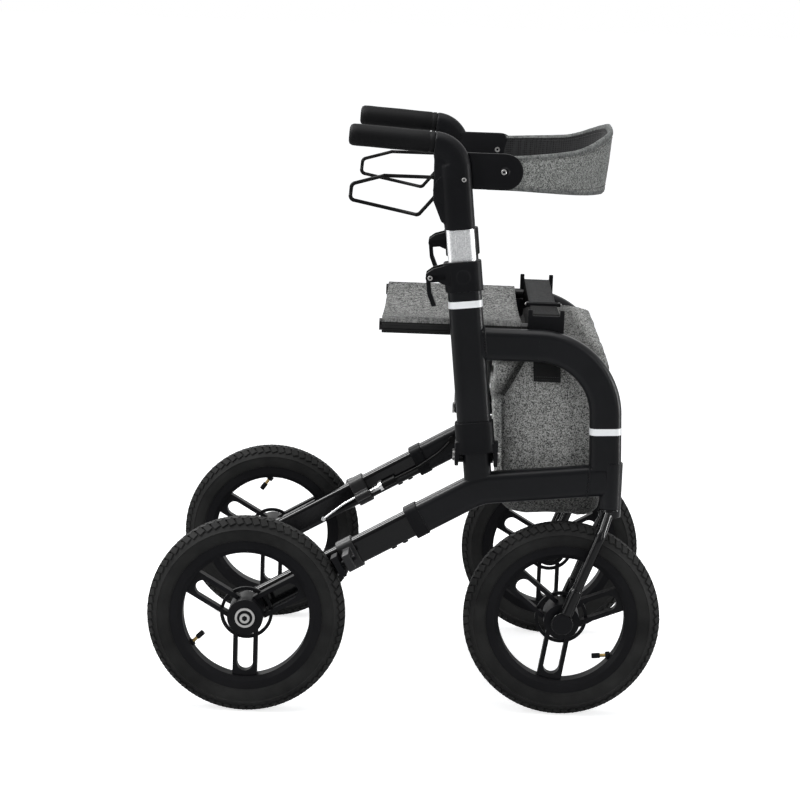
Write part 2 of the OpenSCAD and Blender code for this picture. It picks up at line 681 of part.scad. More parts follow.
// Caster fork: stem, crown, and a leg on each side of the wheel
fork_in = hub_l / 2 + 1.5;
fork_t = 12.5;
fork_y = fork_in + fork_t / 2;
cap_r = 15;
fork_turn = atan2(caster_trail, head_z - wheel_r);
fork_l = norm([caster_trail, head_z - wheel_r]);
module caster_fork(s) color("#101113") on_side(s) on_frame() translate([front_x, 0, wheel_r]) difference() {
  crown_t = 13;
  crown_z = head_z - wheel_r - gap - crown_t;
  leg_tube_r = 8;
  leg_bend = 24;
  union() {
    translate([caster_trail, 0, crown_z]) {
      cylinder(crown_t, head_r, head_r);
      cylinder(crown_t + head_l - 6, stem_r, stem_r);
    }
    for (e = [-1, 1]) {
      translate([0, e * fork_y, 0]) about_axle() cylinder(fork_t, cap_r + 2, cap_r + 2, center = true);
      rotate([0, fork_turn, 0]) rotate([0, 0, 90]) {
        translate([e * fork_y, 0, cap_r + gap]) cylinder(40, 10.5, 9.5);
        wire([[e * fork_y, cap_r + gap], [e * fork_y, wheel_r - 6], [e * 9, fork_l - crown_t / 2 - gap]],
          leg_bend, leg_tube_r);
      }
    }
  }
  about_axle() cylinder(4 * fork_y, axle_r, axle_r, center = true);
  about_axle() cylinder(2 * fork_in, hub_r + 1, hub_r + 1, center = true);
}

// Wheels, drawn round their own axle with the outer side on top
module on_rear(s) on_side(s) translate([rear_x, -rear_y, wheel_r]) about_axle() children();
module on_front(s) on_side(s) translate([front_x, -frame_y, wheel_r]) about_axle() children();

module tyre_section(half_w, bead) {
  crown_r = wheel_r - tyre_w / 2;
  translate([crown_r, 0]) circle(half_w);
  translate([rim_in_r, -bead]) square([crown_r - rim_in_r, 2 * bead]);
}
module tyre_shape() rotate_extrude($fn = 128) difference() {
  bead = rim_w / 2 + 2;
  tyre_section(tyre_w / 2, bead);
  tyre_section(tyre_w / 2 - tyre_wall, bead - tyre_wall - 0.5);
  translate([0, -tyre_w]) square([rim_seat_r, 2 * tyre_w]);
}

module spoke(turn) rotate(turn) linear_extrude(spoke_t, center = true) difference() {
  slot_end = rim_in_r - 8 - spoke_slot / 2;
  translate([hub_r - 5, -spoke_w / 2]) square([rim_in_r - hub_r + 9, spoke_w]);
  translate([0, -spoke_slot / 2]) square([slot_end, spoke_slot]);
  translate([slot_end, 0]) circle(spoke_slot / 2);
}

module rim_shape(turn) difference() {
  edge = rim_w / 2;
  union() {
    rotate_extrude($fn = 128) polygon([
      [rim_in_r, -edge + 5], [rim_in_r, edge - 5], [rim_in_r + 7, edge], [rim_seat_r, edge],
      [rim_seat_r, edge - 6], [rim_in_r + 8, edge - 10], [rim_in_r + 8, -edge + 10],
      [rim_seat_r, -edge + 6], [rim_seat_r, -edge], [rim_in_r + 7, -edge]]);
    for (k = [0 : 2]) spoke(turn + 120 * k);
    cylinder(hub_l, hub_r, hub_r, center = true);
    translate([0, 0, -6]) difference() {
      cylinder(5, flange_r, flange_r);
      translate([0, 0, -past]) cylinder(5 + 2 * past, flange_r - 5, flange_r - 5);
    }
  }
  cylinder(hub_l + 2 * past, axle_r + 2, axle_r + 2, center = true);
  for (e = [-1, 1]) translate([0, 0, e * (hub_l - bearing_w) / 2])
    cylinder(bearing_w + 0.01, bearing_r, bearing_r, center = true);
}

module bearings() for (e = [-1, 1]) translate([0, 0, e * (hub_l - bearing_w) / 2]) difference() {
  cylinder(bearing_w, bearing_r, bearing_r, center = true);
  cylinder(bearing_w + 2 * past, axle_r + run, axle_r + run, center = true);
}

module rear_axle_shape() {
  leg_out = rear_y - frame_y;
  hub_out = hub_l / 2;
  translate([0, 0, -leg_out - leg_t / 2]) cylinder(leg_out + leg_t / 2 + hub_out + gap, axle_r, axle_r);
  translate([0, 0, -leg_out - leg_t / 2 - 6]) cylinder(6, 10, 10, $fn = 6);
  translate([0, 0, -leg_out + leg_t / 2]) cylinder(leg_out - leg_t / 2 - hub_out - gap, axle_r + 3, axle_r + 3);
  translate([0, 0, hub_out + gap]) difference() {
    union() {
      cylinder(2.5, 15, 15);
      cylinder(6, 7.5, 7.5);
    }
    translate([0, 0, 3]) cylinder(4, 4, 4, $fn = 6);
  }
}

module front_axle_shape() {
  cylinder(2 * (fork_in + fork_t), axle_r, axle_r, center = true);
  for (e = [-1, 1]) translate([0, 0, e * (fork_in + fork_t + 1.25)]) cylinder(2.5, cap_r, cap_r, center = true);
}

// Plastic hook on the hoop that carries one end of the bag's strap
module strap_hook(s) color("#131415") on_side(s) on_frame() difference() {
  translate([strap_x - strap_w / 2 - hook_ear, tube_t / 2 + gap, hoop_z - 6])
    cube([strap_w + 2 * hook_ear, hook_t, strap_z + 15 - hoop_z]);
  translate([strap_x - strap_w / 2, tube_t / 2 - past, strap_z]) cube([strap_w, hook_t + 3 * past, strap_z]);
}

// Sling seat sewn round both rails, sagging between them
module seat_sling() color("#9a9b98") difference() {
  translate([seat_x, 0, seat_z]) rotate([90, 0, 90]) linear_extrude(seat_l) sling_section();
  brace_line(rear_brace_x, -1, brace_r + gap);
  brace_line(front_brace_x, 1, brace_r + gap);
}
module sling_section() {
  bow = (rail_y * rail_y + seat_sag * seat_sag) / (2 * seat_sag);
  top = rail_r + gap + cloth;
  difference() {
    union() {
      for (e = [-1, 1]) translate([e * rail_y, 0]) circle(hem_r);
      intersection() {
        translate([0, top + bow - seat_sag]) difference() {
          circle(bow, $fn = 400);
          circle(bow - cloth, $fn = 400);
        }
        translate([-rail_y, -2 * rail_r]) square([2 * rail_y, 4 * rail_r]);
      }
    }
    for (e = [-1, 1]) translate([e * rail_y, 0]) circle(rail_r + gap);
  }
}

// Padded band from bracket to bracket, round the front and taller in its middle
module backrest_band() color("#83847f") {
  y_out = frame_y - bracket_y - bracket_t / 2;
  x_from = bracket_x - band_h / 2;
  reach = band_reach + band_h / 2;
  intersection() {
    translate([x_from, 0, 0]) linear_extrude(grip_z + 2 * band_mid_h) difference() {
      band_plan(reach, y_out);
      band_plan(reach - band_t, y_out - band_t);
    }
    translate([x_from - past, 0, bracket_z]) rotate([90, 0, 90]) linear_extrude(2 * reach) polygon([
      for (k = [-8 : 8]) [k * y_out / 8, band_h / 2 + (band_mid_h - band_h) * 0.7 * pow(cos(k * 11.25), 2)],
      for (k = [8 : -1 : -8]) [k * y_out / 8, -band_h / 2 - (band_mid_h - band_h) * 0.3 * pow(cos(k * 11.25), 2)]
    ]);
  }
}
module band_plan(reach, half) {
  corner = min(reach, half) - 1;
  translate([0, -half]) square([reach - corner, 2 * half]);
  translate([0, -half + corner]) square([reach, 2 * (half - corner)]);
  for (e = [-1, 1]) translate([reach - corner, e * (half - corner)]) circle(corner, $fn = 96);
}

// Hanging bag, open at its top, with its rear corners drawn in beside the brace pivots
module bag_form(side, wall) intersection() {
  rear = bag_side[10][0] + wall;
  front = bag_side[4][0] - wall;
  half = bag_y - wall;
  across(2 * half) polygon(inset(side, wall));
  linear_extrude(2 * bag_top) polygon([
    [rear, -half + 24], [bag_tuck, -half + 19], [bag_tuck + 4, -half], [front, -half],
    [front, half], [bag_tuck + 4, half], [bag_tuck, half - 19], [rear, half - 24]]);
}
module bag() color("#8b8d88") difference() {
  bag_form(bag_side, 0);
  bag_form([for (i = [0 : 10]) bag_side[i] + (i == 6 ? 0.2 * (bag_side[6] - bag_side[5])
    : i == 7 ? 0.15 * (bag_side[7] - bag_side[8]) : [0, 0])], bag_wall);
}

// Webbing over the bag's mouth, from side to side, with its sliding buckle
module bag_strap() color("#1a1b1c") {
  end_y = frame_y - tube_t / 2 - 2;
  translate([strap_x - strap_w / 2, -end_y, strap_z]) cube([strap_w, 2 * end_y, strap_t]);
  translate([strap_x - strap_w / 2 - 4, -96, strap_z + strap_t]) cube([strap_w + 8, 10, 4]);
}

side_frame(-1);  // right_side_frame
side_frame(1);  // left_side_frame
leg_tube(-1);  // right_leg_tube
leg_tube(1);  // left_leg_tube
leg_collar(-1);  // right_leg_collar
leg_collar(1);  // left_leg_collar
brace_bracket(-1);  // right_brace_bracket
brace_bracket(1);  // left_brace_bracket
pivot_pin(-1);  // right_pivot_pin
pivot_pin(1);  // left_pivot_pin
brake_housing(-1);  // right_brake_housing
brake_housing(1);  // left_brake_housing
brake_shoe(-1);  // right_brake_shoe
brake_shoe(1);  // left_brake_shoe
brake_cable(-1);  // right_brake_cable
brake_cable(1);  // left_brake_cable
height_clamp(-1);  // right_height_clamp
height_clamp(1);  // left_height_clamp
clamp_lever(-1);  // right_clamp_lever
clamp_lever(1);  // left_clamp_lever
handle_tube(-1);  // right_handle_tube
handle_tube(1);  // left_handle_tube
handle_housing(-1);  // right_handle_housing
handle_housing(1);  // left_handle_housing
grip(-1);  // right_grip
grip(1);  // left_grip
brake_lever(-1);  // right_brake_lever
brake_lever(1);  // left_brake_lever
backrest_bracket(-1);  // right_backrest_bracket
backrest_bracket(1);  // left_backrest_bracket
rear_cross_brace();
front_cross_brace();
seat_rail(-1);  // right_seat_rail
seat_rail(1);  // left_seat_rail
cross_pivot();
caster_fork(-1);  // right_caster_fork
caster_fork(1);  // left_caster_fork
color("#1a1a1a") on_rear(-1) tyre_shape();  // rear_right_tyre
color("#1a1a1a") on_rear(1) tyre_shape();  // rear_left_tyre
color("#1a1a1a") on_front(-1) tyre_shape();  // front_right_tyre
color("#1a1a1a") on_front(1) tyre_shape();  // front_left_tyre
color("#16171a") on_rear(-1) rim_shape(30);  // rear_right_rim
color("#16171a") on_rear(1) rim_shape(30);  // rear_left_rim
color("#16171a") on_front(-1) rim_shape(21);  // front_right_rim
color("#16171a") on_front(1) rim_shape(30);  // front_left_rim
color("silver") on_rear(-1) bearings();  // rear_right_bearings
color("silver") on_rear(1) bearings();  // rear_left_bearings
color("silver") on_front(-1) bearings();  // front_right_bearings
color("silver") on_front(1) bearings();  // front_left_bearings
color("silver") on_rear(-1) rear_axle_shape();  // rear_right_axle
color("silver") on_rear(1) rear_axle_shape();  // rear_left_axle
color("#151617") on_front(-1) front_axle_shape();  // front_right_axle
color("#151617") on_front(1) front_axle_shape();  // front_left_axle
strap_hook(-1);  // right_strap_hook
strap_hook(1);  // left_strap_hook
seat_sling();
backrest_band();
bag();
bag_strap();
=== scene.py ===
# %% [markdown]
# All terrain rollator.
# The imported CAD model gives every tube, pin and wheel its place, so this script only adds what CAD
# leaves plain: finishes, tread, cloth, stitching and the small trim. Lengths are metres, unless a
# comment says millimetres.

# %% Load the frame
import json
import math

import bmesh
import bpy
from mathutils import Matrix, Vector, noise


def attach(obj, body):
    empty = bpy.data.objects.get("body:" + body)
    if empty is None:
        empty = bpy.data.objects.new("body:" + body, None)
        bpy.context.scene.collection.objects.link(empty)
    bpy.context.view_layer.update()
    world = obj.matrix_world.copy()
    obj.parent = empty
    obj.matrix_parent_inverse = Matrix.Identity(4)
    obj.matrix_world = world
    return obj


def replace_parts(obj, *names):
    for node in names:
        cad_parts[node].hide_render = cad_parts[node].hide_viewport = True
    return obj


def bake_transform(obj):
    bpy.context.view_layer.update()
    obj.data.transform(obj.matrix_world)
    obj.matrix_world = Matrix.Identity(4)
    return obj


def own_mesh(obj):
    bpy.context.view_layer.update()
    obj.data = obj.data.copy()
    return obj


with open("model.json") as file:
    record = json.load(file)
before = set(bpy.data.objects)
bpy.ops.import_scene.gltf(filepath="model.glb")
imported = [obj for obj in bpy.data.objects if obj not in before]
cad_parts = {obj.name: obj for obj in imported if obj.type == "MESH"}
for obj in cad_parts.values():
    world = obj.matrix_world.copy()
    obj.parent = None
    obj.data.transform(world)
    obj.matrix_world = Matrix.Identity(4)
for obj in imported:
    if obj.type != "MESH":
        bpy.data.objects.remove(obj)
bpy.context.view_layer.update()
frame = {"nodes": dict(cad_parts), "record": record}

# %% [markdown]
# The photograph was taken from the right side, a little above the seat, with a long lens. The
# camera's turn, tilt and distance were solved from the four wheels and the parallel tubes, so they
# are written here as three angles and a place.

# %% Camera
FOCAL_PX, IMAGE_PX, SENSOR_MM = 2505.9, 800, 36.0
CAMERA_AT = (0.0347, -3.9548, 1.1319)
PITCH_YAW_ROLL = (9.974, -0.816, -1.984)
pitch, yaw, roll = (math.radians(turn) for turn in PITCH_YAW_ROLL)
forward = Vector((math.sin(yaw) * math.cos(pitch), math.cos(yaw) * math.cos(pitch), -math.sin(pitch)))
level_right = Vector((math.cos(yaw), -math.sin(yaw), 0))
level_down = forward.cross(level_right)
image_right = math.cos(roll) * level_right + math.sin(roll) * level_down
image_down = -math.sin(roll) * level_right + math.cos(roll) * level_down
camera_data = bpy.data.cameras.new("camera")
camera_data.sensor_width = SENSOR_MM
camera_data.lens = FOCAL_PX / IMAGE_PX * SENSOR_MM
camera = bpy.data.objects.new("camera", camera_data)
turned_to = Matrix((image_right, -image_down, -forward)).transposed().to_4x4()
camera.matrix_world = Matrix.Translation(CAMERA_AT) @ turned_to
scene = bpy.context.scene
scene.collection.objects.link(camera)
scene.camera = camera
print("lens", round(camera_data.lens, 1), "mm")

# %% [markdown]
# Shader nodes are made the same way everywhere: a node, its settings, and what feeds it. One helper
# does that, so that a network reads like a sum. A second one is short for the Math node.

# %% Node helpers


def add(tree, kind, settings=None, *ordered, **named):
    """A node, its settings, and what feeds it: in the order of its sockets, or by their names."""
    made = tree.nodes.new("ShaderNode" + kind)
    for key, value in (settings or {}).items():
        if key in made.inputs:
            made.inputs[key].default_value = value
        else:
            setattr(made, key, value)
    feeds = list(zip(made.inputs, ordered))
    feeds += [(made.inputs[key.replace("_", " ")], feed) for key, feed in named.items()]
    for socket, feed in feeds:
        if isinstance(feed, bpy.types.NodeSocket):
            tree.links.new(feed, socket)
        else:
            socket.default_value = feed
    return made


def calc(tree, operation, *values):
    """The result of a Math node on sockets and plain numbers."""
    return add(tree, "Math", {"operation": operation}, *values).outputs[0]


def empty_tree(holder):
    holder.use_nodes = True
    holder.node_tree.nodes.clear()
    return holder.node_tree


print("node helpers ready")

# %% [markdown]
# The studio is white all round. A white that comes from strong lamps would bleach the cloth, so the
# world and floor turn white only for the rays that look at them or mirror them, and the lamps stay
# at a plain level. What a mirror sees towards the camera is dim, as in a real studio, so that flat
# black faces stay deep and only the rounded edges shine. The floor keeps a soft shadow because part
# of its brightness is real light.

# %% Studio
scene.view_settings.view_transform = "Standard"
WHITE = (1, 1, 1, 1)
FLOOR_GLOW, FLOOR_IN_MIRRORS, FLOOR_R, FLOOR_Z = 0.72, 0.15, 40, -0.0005


def seen_rays(tree, in_mirrors=1.0):
    """One socket that is 1 for camera and transmission rays, and a given share for glossy ones."""
    rays = add(tree, "LightPath").outputs
    glossy = calc(tree, "MULTIPLY", rays["Is Glossy Ray"], in_mirrors)
    seen = calc(tree, "MAXIMUM", rays["Is Camera Ray"], glossy)
    return calc(tree, "MAXIMUM", seen, rays["Is Transmission Ray"])


scene.world = bpy.data.worlds.new("studio")
tree = empty_tree(scene.world)
lit = add(tree, "Background", {"Color": (0.94, 0.97, 1, 1), "Strength": 0.42})
look = add(tree, "SeparateXYZ", None, add(tree, "TexCoord").outputs["Generated"])
dim = add(tree, "MapRange", {"interpolation_type": "SMOOTHSTEP", "From Min": -0.95, "From Max": -0.15,
                             "To Min": 0.3, "To Max": 1.0}, Value=look.outputs["Y"])
glossy = add(tree, "LightPath").outputs["Is Glossy Ray"]
strength = add(tree, "Mix", {"A": 1.0}, Factor=glossy, B=dim.outputs[0])
white = add(tree, "Background", {"Color": WHITE}, Strength=strength.outputs[0])
mix = add(tree, "MixShader", None, seen_rays(tree), lit.outputs[0], white.outputs[0])
add(tree, "OutputWorld", None, mix.outputs[0])

floor_finish = bpy.data.materials.new("floor")
tree = empty_tree(floor_finish)
matte = add(tree, "BsdfDiffuse", {"Color": (0.8, 0.8, 0.8, 1)})
shine = calc(tree, "MULTIPLY", seen_rays(tree, FLOOR_IN_MIRRORS), FLOOR_GLOW)
glow = add(tree, "Emission", {"Color": WHITE}, Strength=shine)
both = add(tree, "AddShader", None, matte.outputs[0], glow.outputs[0])
add(tree, "OutputMaterial", None, both.outputs[0])

bm = bmesh.new()
bmesh.ops.create_circle(bm, cap_ends=True, segments=64, radius=FLOOR_R)
bmesh.ops.translate(bm, verts=bm.verts, vec=(0, 0, FLOOR_Z))
mesh = bpy.data.meshes.new("floor")
bm.to_mesh(mesh)
bm.free()
mesh.materials.append(floor_finish)
floor = bpy.data.objects.new("floor", mesh)
scene.collection.objects.link(floor)


def softbox(name, at, towards, wide, tall, watts, gloss_only=False):
    """An area lamp; one that is for gloss alone draws highlights and adds no light to matte faces."""
    data = bpy.data.lights.new(name, "AREA")
    data.shape, data.size, data.size_y, data.energy = "RECTANGLE", wide, tall, watts
    lamp = bpy.data.objects.new(name, data)
    lamp.location = at
    lamp.rotation_euler = (Vector(towards) - Vector(at)).to_track_quat("-Z", "Y").to_euler()
    lamp.visible_camera, lamp.visible_diffuse = False, not gloss_only
    scene.collection.objects.link(lamp)


softbox("top_light", (0.0, -0.3, 3.2), (0, 0, 0.4), 2.6, 2.6, 70)
softbox("left_light", (-2.6, -2.0, 1.7), (0, 0, 0.5), 0.6, 2.2, 26)
softbox("right_light", (2.2, -2.6, 1.5), (0, 0, 0.5), 0.4, 2.2, 18)
softbox("high_strip", (-1.5, -0.1, 2.3), (-0.1, -0.24, 0.3), 0.8, 1.2, 90, gloss_only=True)
softbox("back_strip", (-1.3, 1.9, 1.6), (-0.1, -0.2, 0.3), 1.0, 0.9, 23, gloss_only=True)
softbox("right_edge", (2.6, -0.3, 0.8), (0, 0, 0.5), 0.3, 1.6, 60, gloss_only=True)
softbox("left_edge", (-2.6, -0.3, 0.8), (0, 0, 0.5), 0.3, 1.6, 18, gloss_only=True)
print("studio ready")

# %% [markdown]
# A finish is a Principled shader whose colour, roughness and bump come from noise in Object
# coordinates. Those are metres, so a scale of 400 gives spots of about 2.5 mm, the same on every
# piece, and nothing has to be unwrapped.

# %% Finishes in paint, plastic, rubber and metal


def shader(name, color, roughness, metallic=0.0, **sockets):
    finish = bpy.data.materials.new(name)
    finish.use_nodes = True
    surface = finish.node_tree.nodes["Principled BSDF"]
    surface.inputs["Base Color"].default_value = (*color, 1)
    surface.inputs["Roughness"].default_value = roughness
    surface.inputs["Metallic"].default_value = metallic
    for socket, value in sockets.items():
        surface.inputs[socket.replace("_", " ")].default_value = value
    return finish


def wire(tree, socket, source):
    """Feeds one socket of a finish's shader."""
    tree.links.new(source, tree.nodes["Principled BSDF"].inputs[socket])


def dent(tree, height, strength, depth):
    """Bumps the surface where a height socket is high, by a depth in metres."""
    bump = add(tree, "Bump", {"Strength": strength, "Distance": depth}, Height=height)
    wire(tree, "Normal", bump.outputs[0])


def place(tree, stretch=(1, 1, 1)):
    where = add(tree, "TexCoord").outputs["Object"]
    return add(tree, "Mapping", {"Scale": stretch}, Vector=where).outputs["Vector"]


def ramp(tree, source, low, high, start=0.3, end=0.7):
    made = add(tree, "ValToRGB", Fac=source)
    for stop, position, color in zip(made.color_ramp.elements, (start, end), (low, high)):
        stop.position, stop.color = position, (*color, 1)
    return made.outputs["Color"]


def grained(name, low, high, rough, scale, depth, metallic=0.0, patch=9, **sockets):
    """Colour drifts in patches; a fine grain moves the roughness and dents the surface."""
    finish = shader(name, high, rough[0], metallic, **sockets)
    tree = finish.node_tree
    where = place(tree)
    drift = add(tree, "TexNoise", {"Scale": patch, "Detail": 4}, Vector=where).outputs["Fac"]
    grain = add(tree, "TexNoise", {"Scale": scale, "Detail": 3}, Vector=where).outputs["Fac"]
    wire(tree, "Base Color", ramp(tree, drift, low, high))
    wire(tree, "Roughness", add(tree, "MapRange", {"To Min": rough[0], "To Max": rough[1]}, grain).outputs[0])
    dent(tree, grain, 0.5, depth)
    return finish


LOW_SHINE = {"Specular_IOR_Level": 0.07}
powder_coat = grained("powder_coat", (0.0042, 0.0044, 0.0052), (0.0072, 0.0075, 0.0088),
                      (0.28, 0.4), 700, 0.00003, Specular_IOR_Level=0.15)
gloss_coat = grained("gloss_coat", (0.003, 0.003, 0.0034), (0.005, 0.005, 0.0056),
                     (0.09, 0.15), 500, 0.00001, Specular_IOR_Level=0.2)
black_plastic = grained("black_plastic", (0.005, 0.0051, 0.0058), (0.0085, 0.0087, 0.0098),
                        (0.36, 0.5), 1400, 0.00004, **LOW_SHINE)
# The brake housing is black plastic; this finish is a little paler than black_plastic, painted light for its
# lit facets.
grey_plastic = grained("grey_plastic", (0.01, 0.01, 0.0106), (0.018, 0.018, 0.019),
                       (0.36, 0.48), 1200, 0.00004, Specular_IOR_Level=0.25)
rim_plastic = grained("rim_plastic", (0.005, 0.005, 0.006), (0.009, 0.009, 0.01),
                      (0.32, 0.46), 900, 0.00003, **LOW_SHINE)
tyre_rubber = grained("tyre_rubber", (0.011, 0.011, 0.011), (0.022, 0.022, 0.0215),
                      (0.55, 0.75), 800, 0.00008, patch=22, **LOW_SHINE)
grip_rubber = grained("grip_rubber", (0.005, 0.005, 0.0054), (0.008, 0.008, 0.0084),
                      (0.5, 0.64), 1100, 0.00005, **LOW_SHINE)
cable_sheath = grained("cable_sheath", (0.004, 0.004, 0.004), (0.008, 0.008, 0.008),
                       (0.35, 0.5), 900, 0.00002, **LOW_SHINE)
anodised = grained("anodised", (0.62, 0.624, 0.63), (0.96, 0.963, 0.967),
                   (0.28, 0.42), 1500, 0.00003, 1.0, patch=520)
steel = grained("steel", (0.36, 0.355, 0.35), (0.5, 0.49, 0.48), (0.24, 0.38), 900, 0.00002, 1.0)
print("finishes", len(bpy.data.materials))

# %% [markdown]
# The CAD nodes whose shape is right stay as they are. Each takes the finish of its real material,
# picked by the words in its name. The other nodes get a finer piece in their place further on.

# %% Finishes on the CAD nodes
SIDES = ("right", "left")
WHEEL_R, HALF_BASE = 0.15, 0.239
LEG_FOOT, LEG_UP = Vector((-HALF_BASE, 0, WHEEL_R)), Vector((0.8681, 0, 0.4964))
ROD_TOP, BARREL_FROM, BARREL_TO = 0.164, 0.1985, 0.2215
FINISH_BY_WORD = [
    ("side_frame", powder_coat), ("leg_tube", gloss_coat), ("pin", steel), ("brake_shoe", black_plastic),
    ("brake_cable", cable_sheath), ("handle_tube", anodised), ("cross_brace", powder_coat),
    ("rail", gloss_coat), ("cross_pivot", steel), ("rim", rim_plastic), ("bearings", steel),
    ("front_right_axle", rim_plastic), ("front_left_axle", rim_plastic), ("axle", steel),
]
for name, node in frame["nodes"].items():
    chosen = next((finish for word, finish in FINISH_BY_WORD if word in name), None)
    if chosen:
        node.data.materials.clear()
        node.data.materials.append(chosen)
# The brake's return rod and the cable's barrel are bare metal: told by how far up the leg they are.
for side in SIDES:
    cable = frame["nodes"][f"{side}_brake_cable"].data
    cable.materials.append(anodised)
    for face in cable.polygons:
        along = (face.center - LEG_FOOT).dot(LEG_UP)
        face.material_index = 1 if along < ROD_TOP or BARREL_FROM < along < BARREL_TO else 0
print("nodes finished", len(frame["nodes"]))

# %% [markdown]
# Most new pieces are built once for the right side and mirrored for the left, as the real maker
# does with left and right mouldings. Mirroring turns every face inside out, so the faces are turned
# back before the mesh is finished.

# %% From bmesh to a piece that rides on a body
MM = 0.001
ALONG_Y = Vector((0, 1, 0))
BODY_OF = {node: body for body, nodes in frame["record"]["behaviour"]["bodies"].items() for node in nodes}


def to_piece(name, bm, body, *finishes, sharp=35):
    mesh = bpy.data.meshes.new(name)
    bm.to_mesh(mesh)
    bm.free()
    for finish in finishes:
        mesh.materials.append(finish)
    mesh.shade_smooth()
    mesh.set_sharp_from_angle(angle=math.radians(sharp))
    made = bpy.data.objects.new(name, mesh)
    scene.collection.objects.link(made)
    if body:
        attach(made, body)
    return made


def side_piece(name, bm, side, body, *finishes, sharp=35):
    """Right-side geometry as the piece of one side, which rides on that side's body."""
    if side == "left":
        bmesh.ops.scale(bm, vec=(1, -1, 1), verts=bm.verts)
        bmesh.ops.reverse_faces(bm, faces=bm.faces)
    return to_piece(f"{side}_{name}", bm, f"{side}_{body}", *finishes, sharp=sharp)


# %% [markdown]
# A few shapes come back on many pieces: a box, a cylinder, a bead of thread or weld, a turned form
# and a form lofted through rings. Each has a helper round the bmesh operator that makes it.

# %% Shapes that come back


def aim(at, direction):
    """A matrix that stands local +Z along a direction at a point."""
    return Matrix.Translation(at) @ Vector(direction).to_track_quat("Z", "Y").to_matrix().to_4x4()


def soften(bm, edges, offset, segments):
    return bmesh.ops.bevel(bm, geom=edges, offset=offset, segments=segments, profile=0.5,
                           affect="EDGES", material=-1)


def box(bm, where, size):
    bmesh.ops.create_cube(bm, size=1, matrix=where @ Matrix.Diagonal((*size, 1)))


def drum(bm, at, direction, radius, length, soft=0.0, sides=28, mat=0):
    """A cylinder that starts at a point; a soft edge is bevelled on its rims."""
    middle = aim(at, direction) @ Matrix.Translation((0, 0, length / 2))
    made = bmesh.ops.create_cone(bm, cap_ends=True, segments=sides, radius1=radius, radius2=radius,
                                 depth=length, matrix=middle)
    faces = {face for vert in made["verts"] for face in vert.link_faces}
    if soft:
        rims = {edge for face in faces if len(face.verts) > 4 for edge in face.edges}
        rounded = soften(bm, list(rims), soft, 3)
        faces = {face for face in faces if face.is_valid} | set(rounded["faces"])
    for face in faces:
        face.material_index = mat


def bead(bm, where, size, mat=0):
    """A small ball with three half lengths, for one stitch or one scale of a weld."""
    made = bmesh.ops.create_icosphere(bm, subdivisions=1, radius=1,
                                      matrix=where @ Matrix.Diagonal((*size, 1)))
    for vert in made["verts"]:
        for face in vert.link_faces:
            face.material_index = mat


def turned(points, axis, steps, closed):
    """A line of points, or a closed ring of them, spun all the way round an axis."""
    bm = bmesh.new()
    verts = [bm.verts.new(point) for point in points]
    edges = [bm.edges.new(pair) for pair in zip(verts, verts[1:] + (verts[:1] if closed else []))]
    bmesh.ops.spin(bm, geom=verts + edges, cent=(0, 0, 0), axis=axis, angle=math.tau, steps=steps,
                   use_merge=True)
    bmesh.ops.remove_doubles(bm, verts=bm.verts, dist=1e-6)
    return bm


def loft(bm, rings):
    """Rings of points, bridged in their order and closed at both ends; gives back each ring's edges."""
    loops = []
    for ring in rings:
        verts = [bm.verts.new(point) for point in ring]
        loops.append([bm.edges.new((verts[i - 1], verts[i])) for i in range(len(verts))])
    for low, high in zip(loops, loops[1:]):
        bmesh.ops.bridge_loops(bm, edges=low + high)
    bmesh.ops.holes_fill(bm, edges=loops[0] + loops[-1])
    return loops


def merged_copy(node):
    """A CAD node's loose triangles, joined at their corners."""
    bm = bmesh.new()
    bm.from_mesh(frame["nodes"][node].data)
    bmesh.ops.remove_doubles(bm, verts=bm.verts, dist=1e-6)
    return bm


def rise(value, start, end):
    """0 at one value and 1 at another, held outside them."""
    return max(0, min(1, (value - start) / (end - start)))


print("shape helpers ready")

# %% [markdown]
# Moulded and cast pieces have no knife-sharp edge anywhere. A voxel remesh of the CAD solid followed
# by a few smoothing passes rounds every edge and fills every inner corner by about the same small
# radius, which is what a mould leaves.

# %% Moulded copies of the plastic and cast nodes


def moulded(node, finish, voxel, passes):
    made = to_piece(node + "_moulded", merged_copy(node), BODY_OF[node], finish)
    remesh = made.modifiers.new("remesh", "REMESH")
    remesh.mode, remesh.voxel_size, remesh.use_smooth_shade = "VOXEL", voxel, True
    smooth = made.modifiers.new("smooth", "SMOOTH")
    smooth.factor, smooth.iterations = 0.5, passes
    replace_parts(made, node)


# Node, finish, voxel in mm and smoothing passes.
MOULDED = [("handle_housing", black_plastic, 1.7, 12), ("height_clamp", black_plastic, 1.0, 4),
           ("clamp_lever", black_plastic, 0.8, 4), ("leg_collar", black_plastic, 0.9, 4),
           # The brake housing takes the paler finish, painted light.
           ("brace_bracket", black_plastic, 1.1, 5), ("brake_housing", grey_plastic, 0.9, 4),
           ("backrest_bracket", black_plastic, 1.0, 5), ("strap_hook", black_plastic, 0.9, 4),
           ("caster_fork", gloss_coat, 1.0, 6)]
for word, finish, voxel, passes in MOULDED:
    for side in SIDES:
        moulded(f"{side}_{word}", finish, voxel * MM, passes)
print("moulded pieces", len(SIDES) * len(MOULDED))

# %% [markdown]
# A pneumatic tyre is a turned shape, so its section is drawn once and spun round the axle. The
# section has the bead by the rim, a plain sidewall with one raised line, and the round crown. The
# tread is rows of slanted blocks that stand on the crown.

# %% Tyres
FRAME_HALF, REAR_HALF = 0.236, 0.2797
WHEELS = {f"{end}_{side}": Vector((x, -y if side == "right" else y, WHEEL_R))
          for end, x, y in (("rear", -HALF_BASE, REAR_HALF), ("front", HALF_BASE, FRAME_HALF))
          for side in SIDES}
CROWN_AT, CROWN_R, TREAD_R = 127 * MM, 21.7 * MM, 149.9 * MM
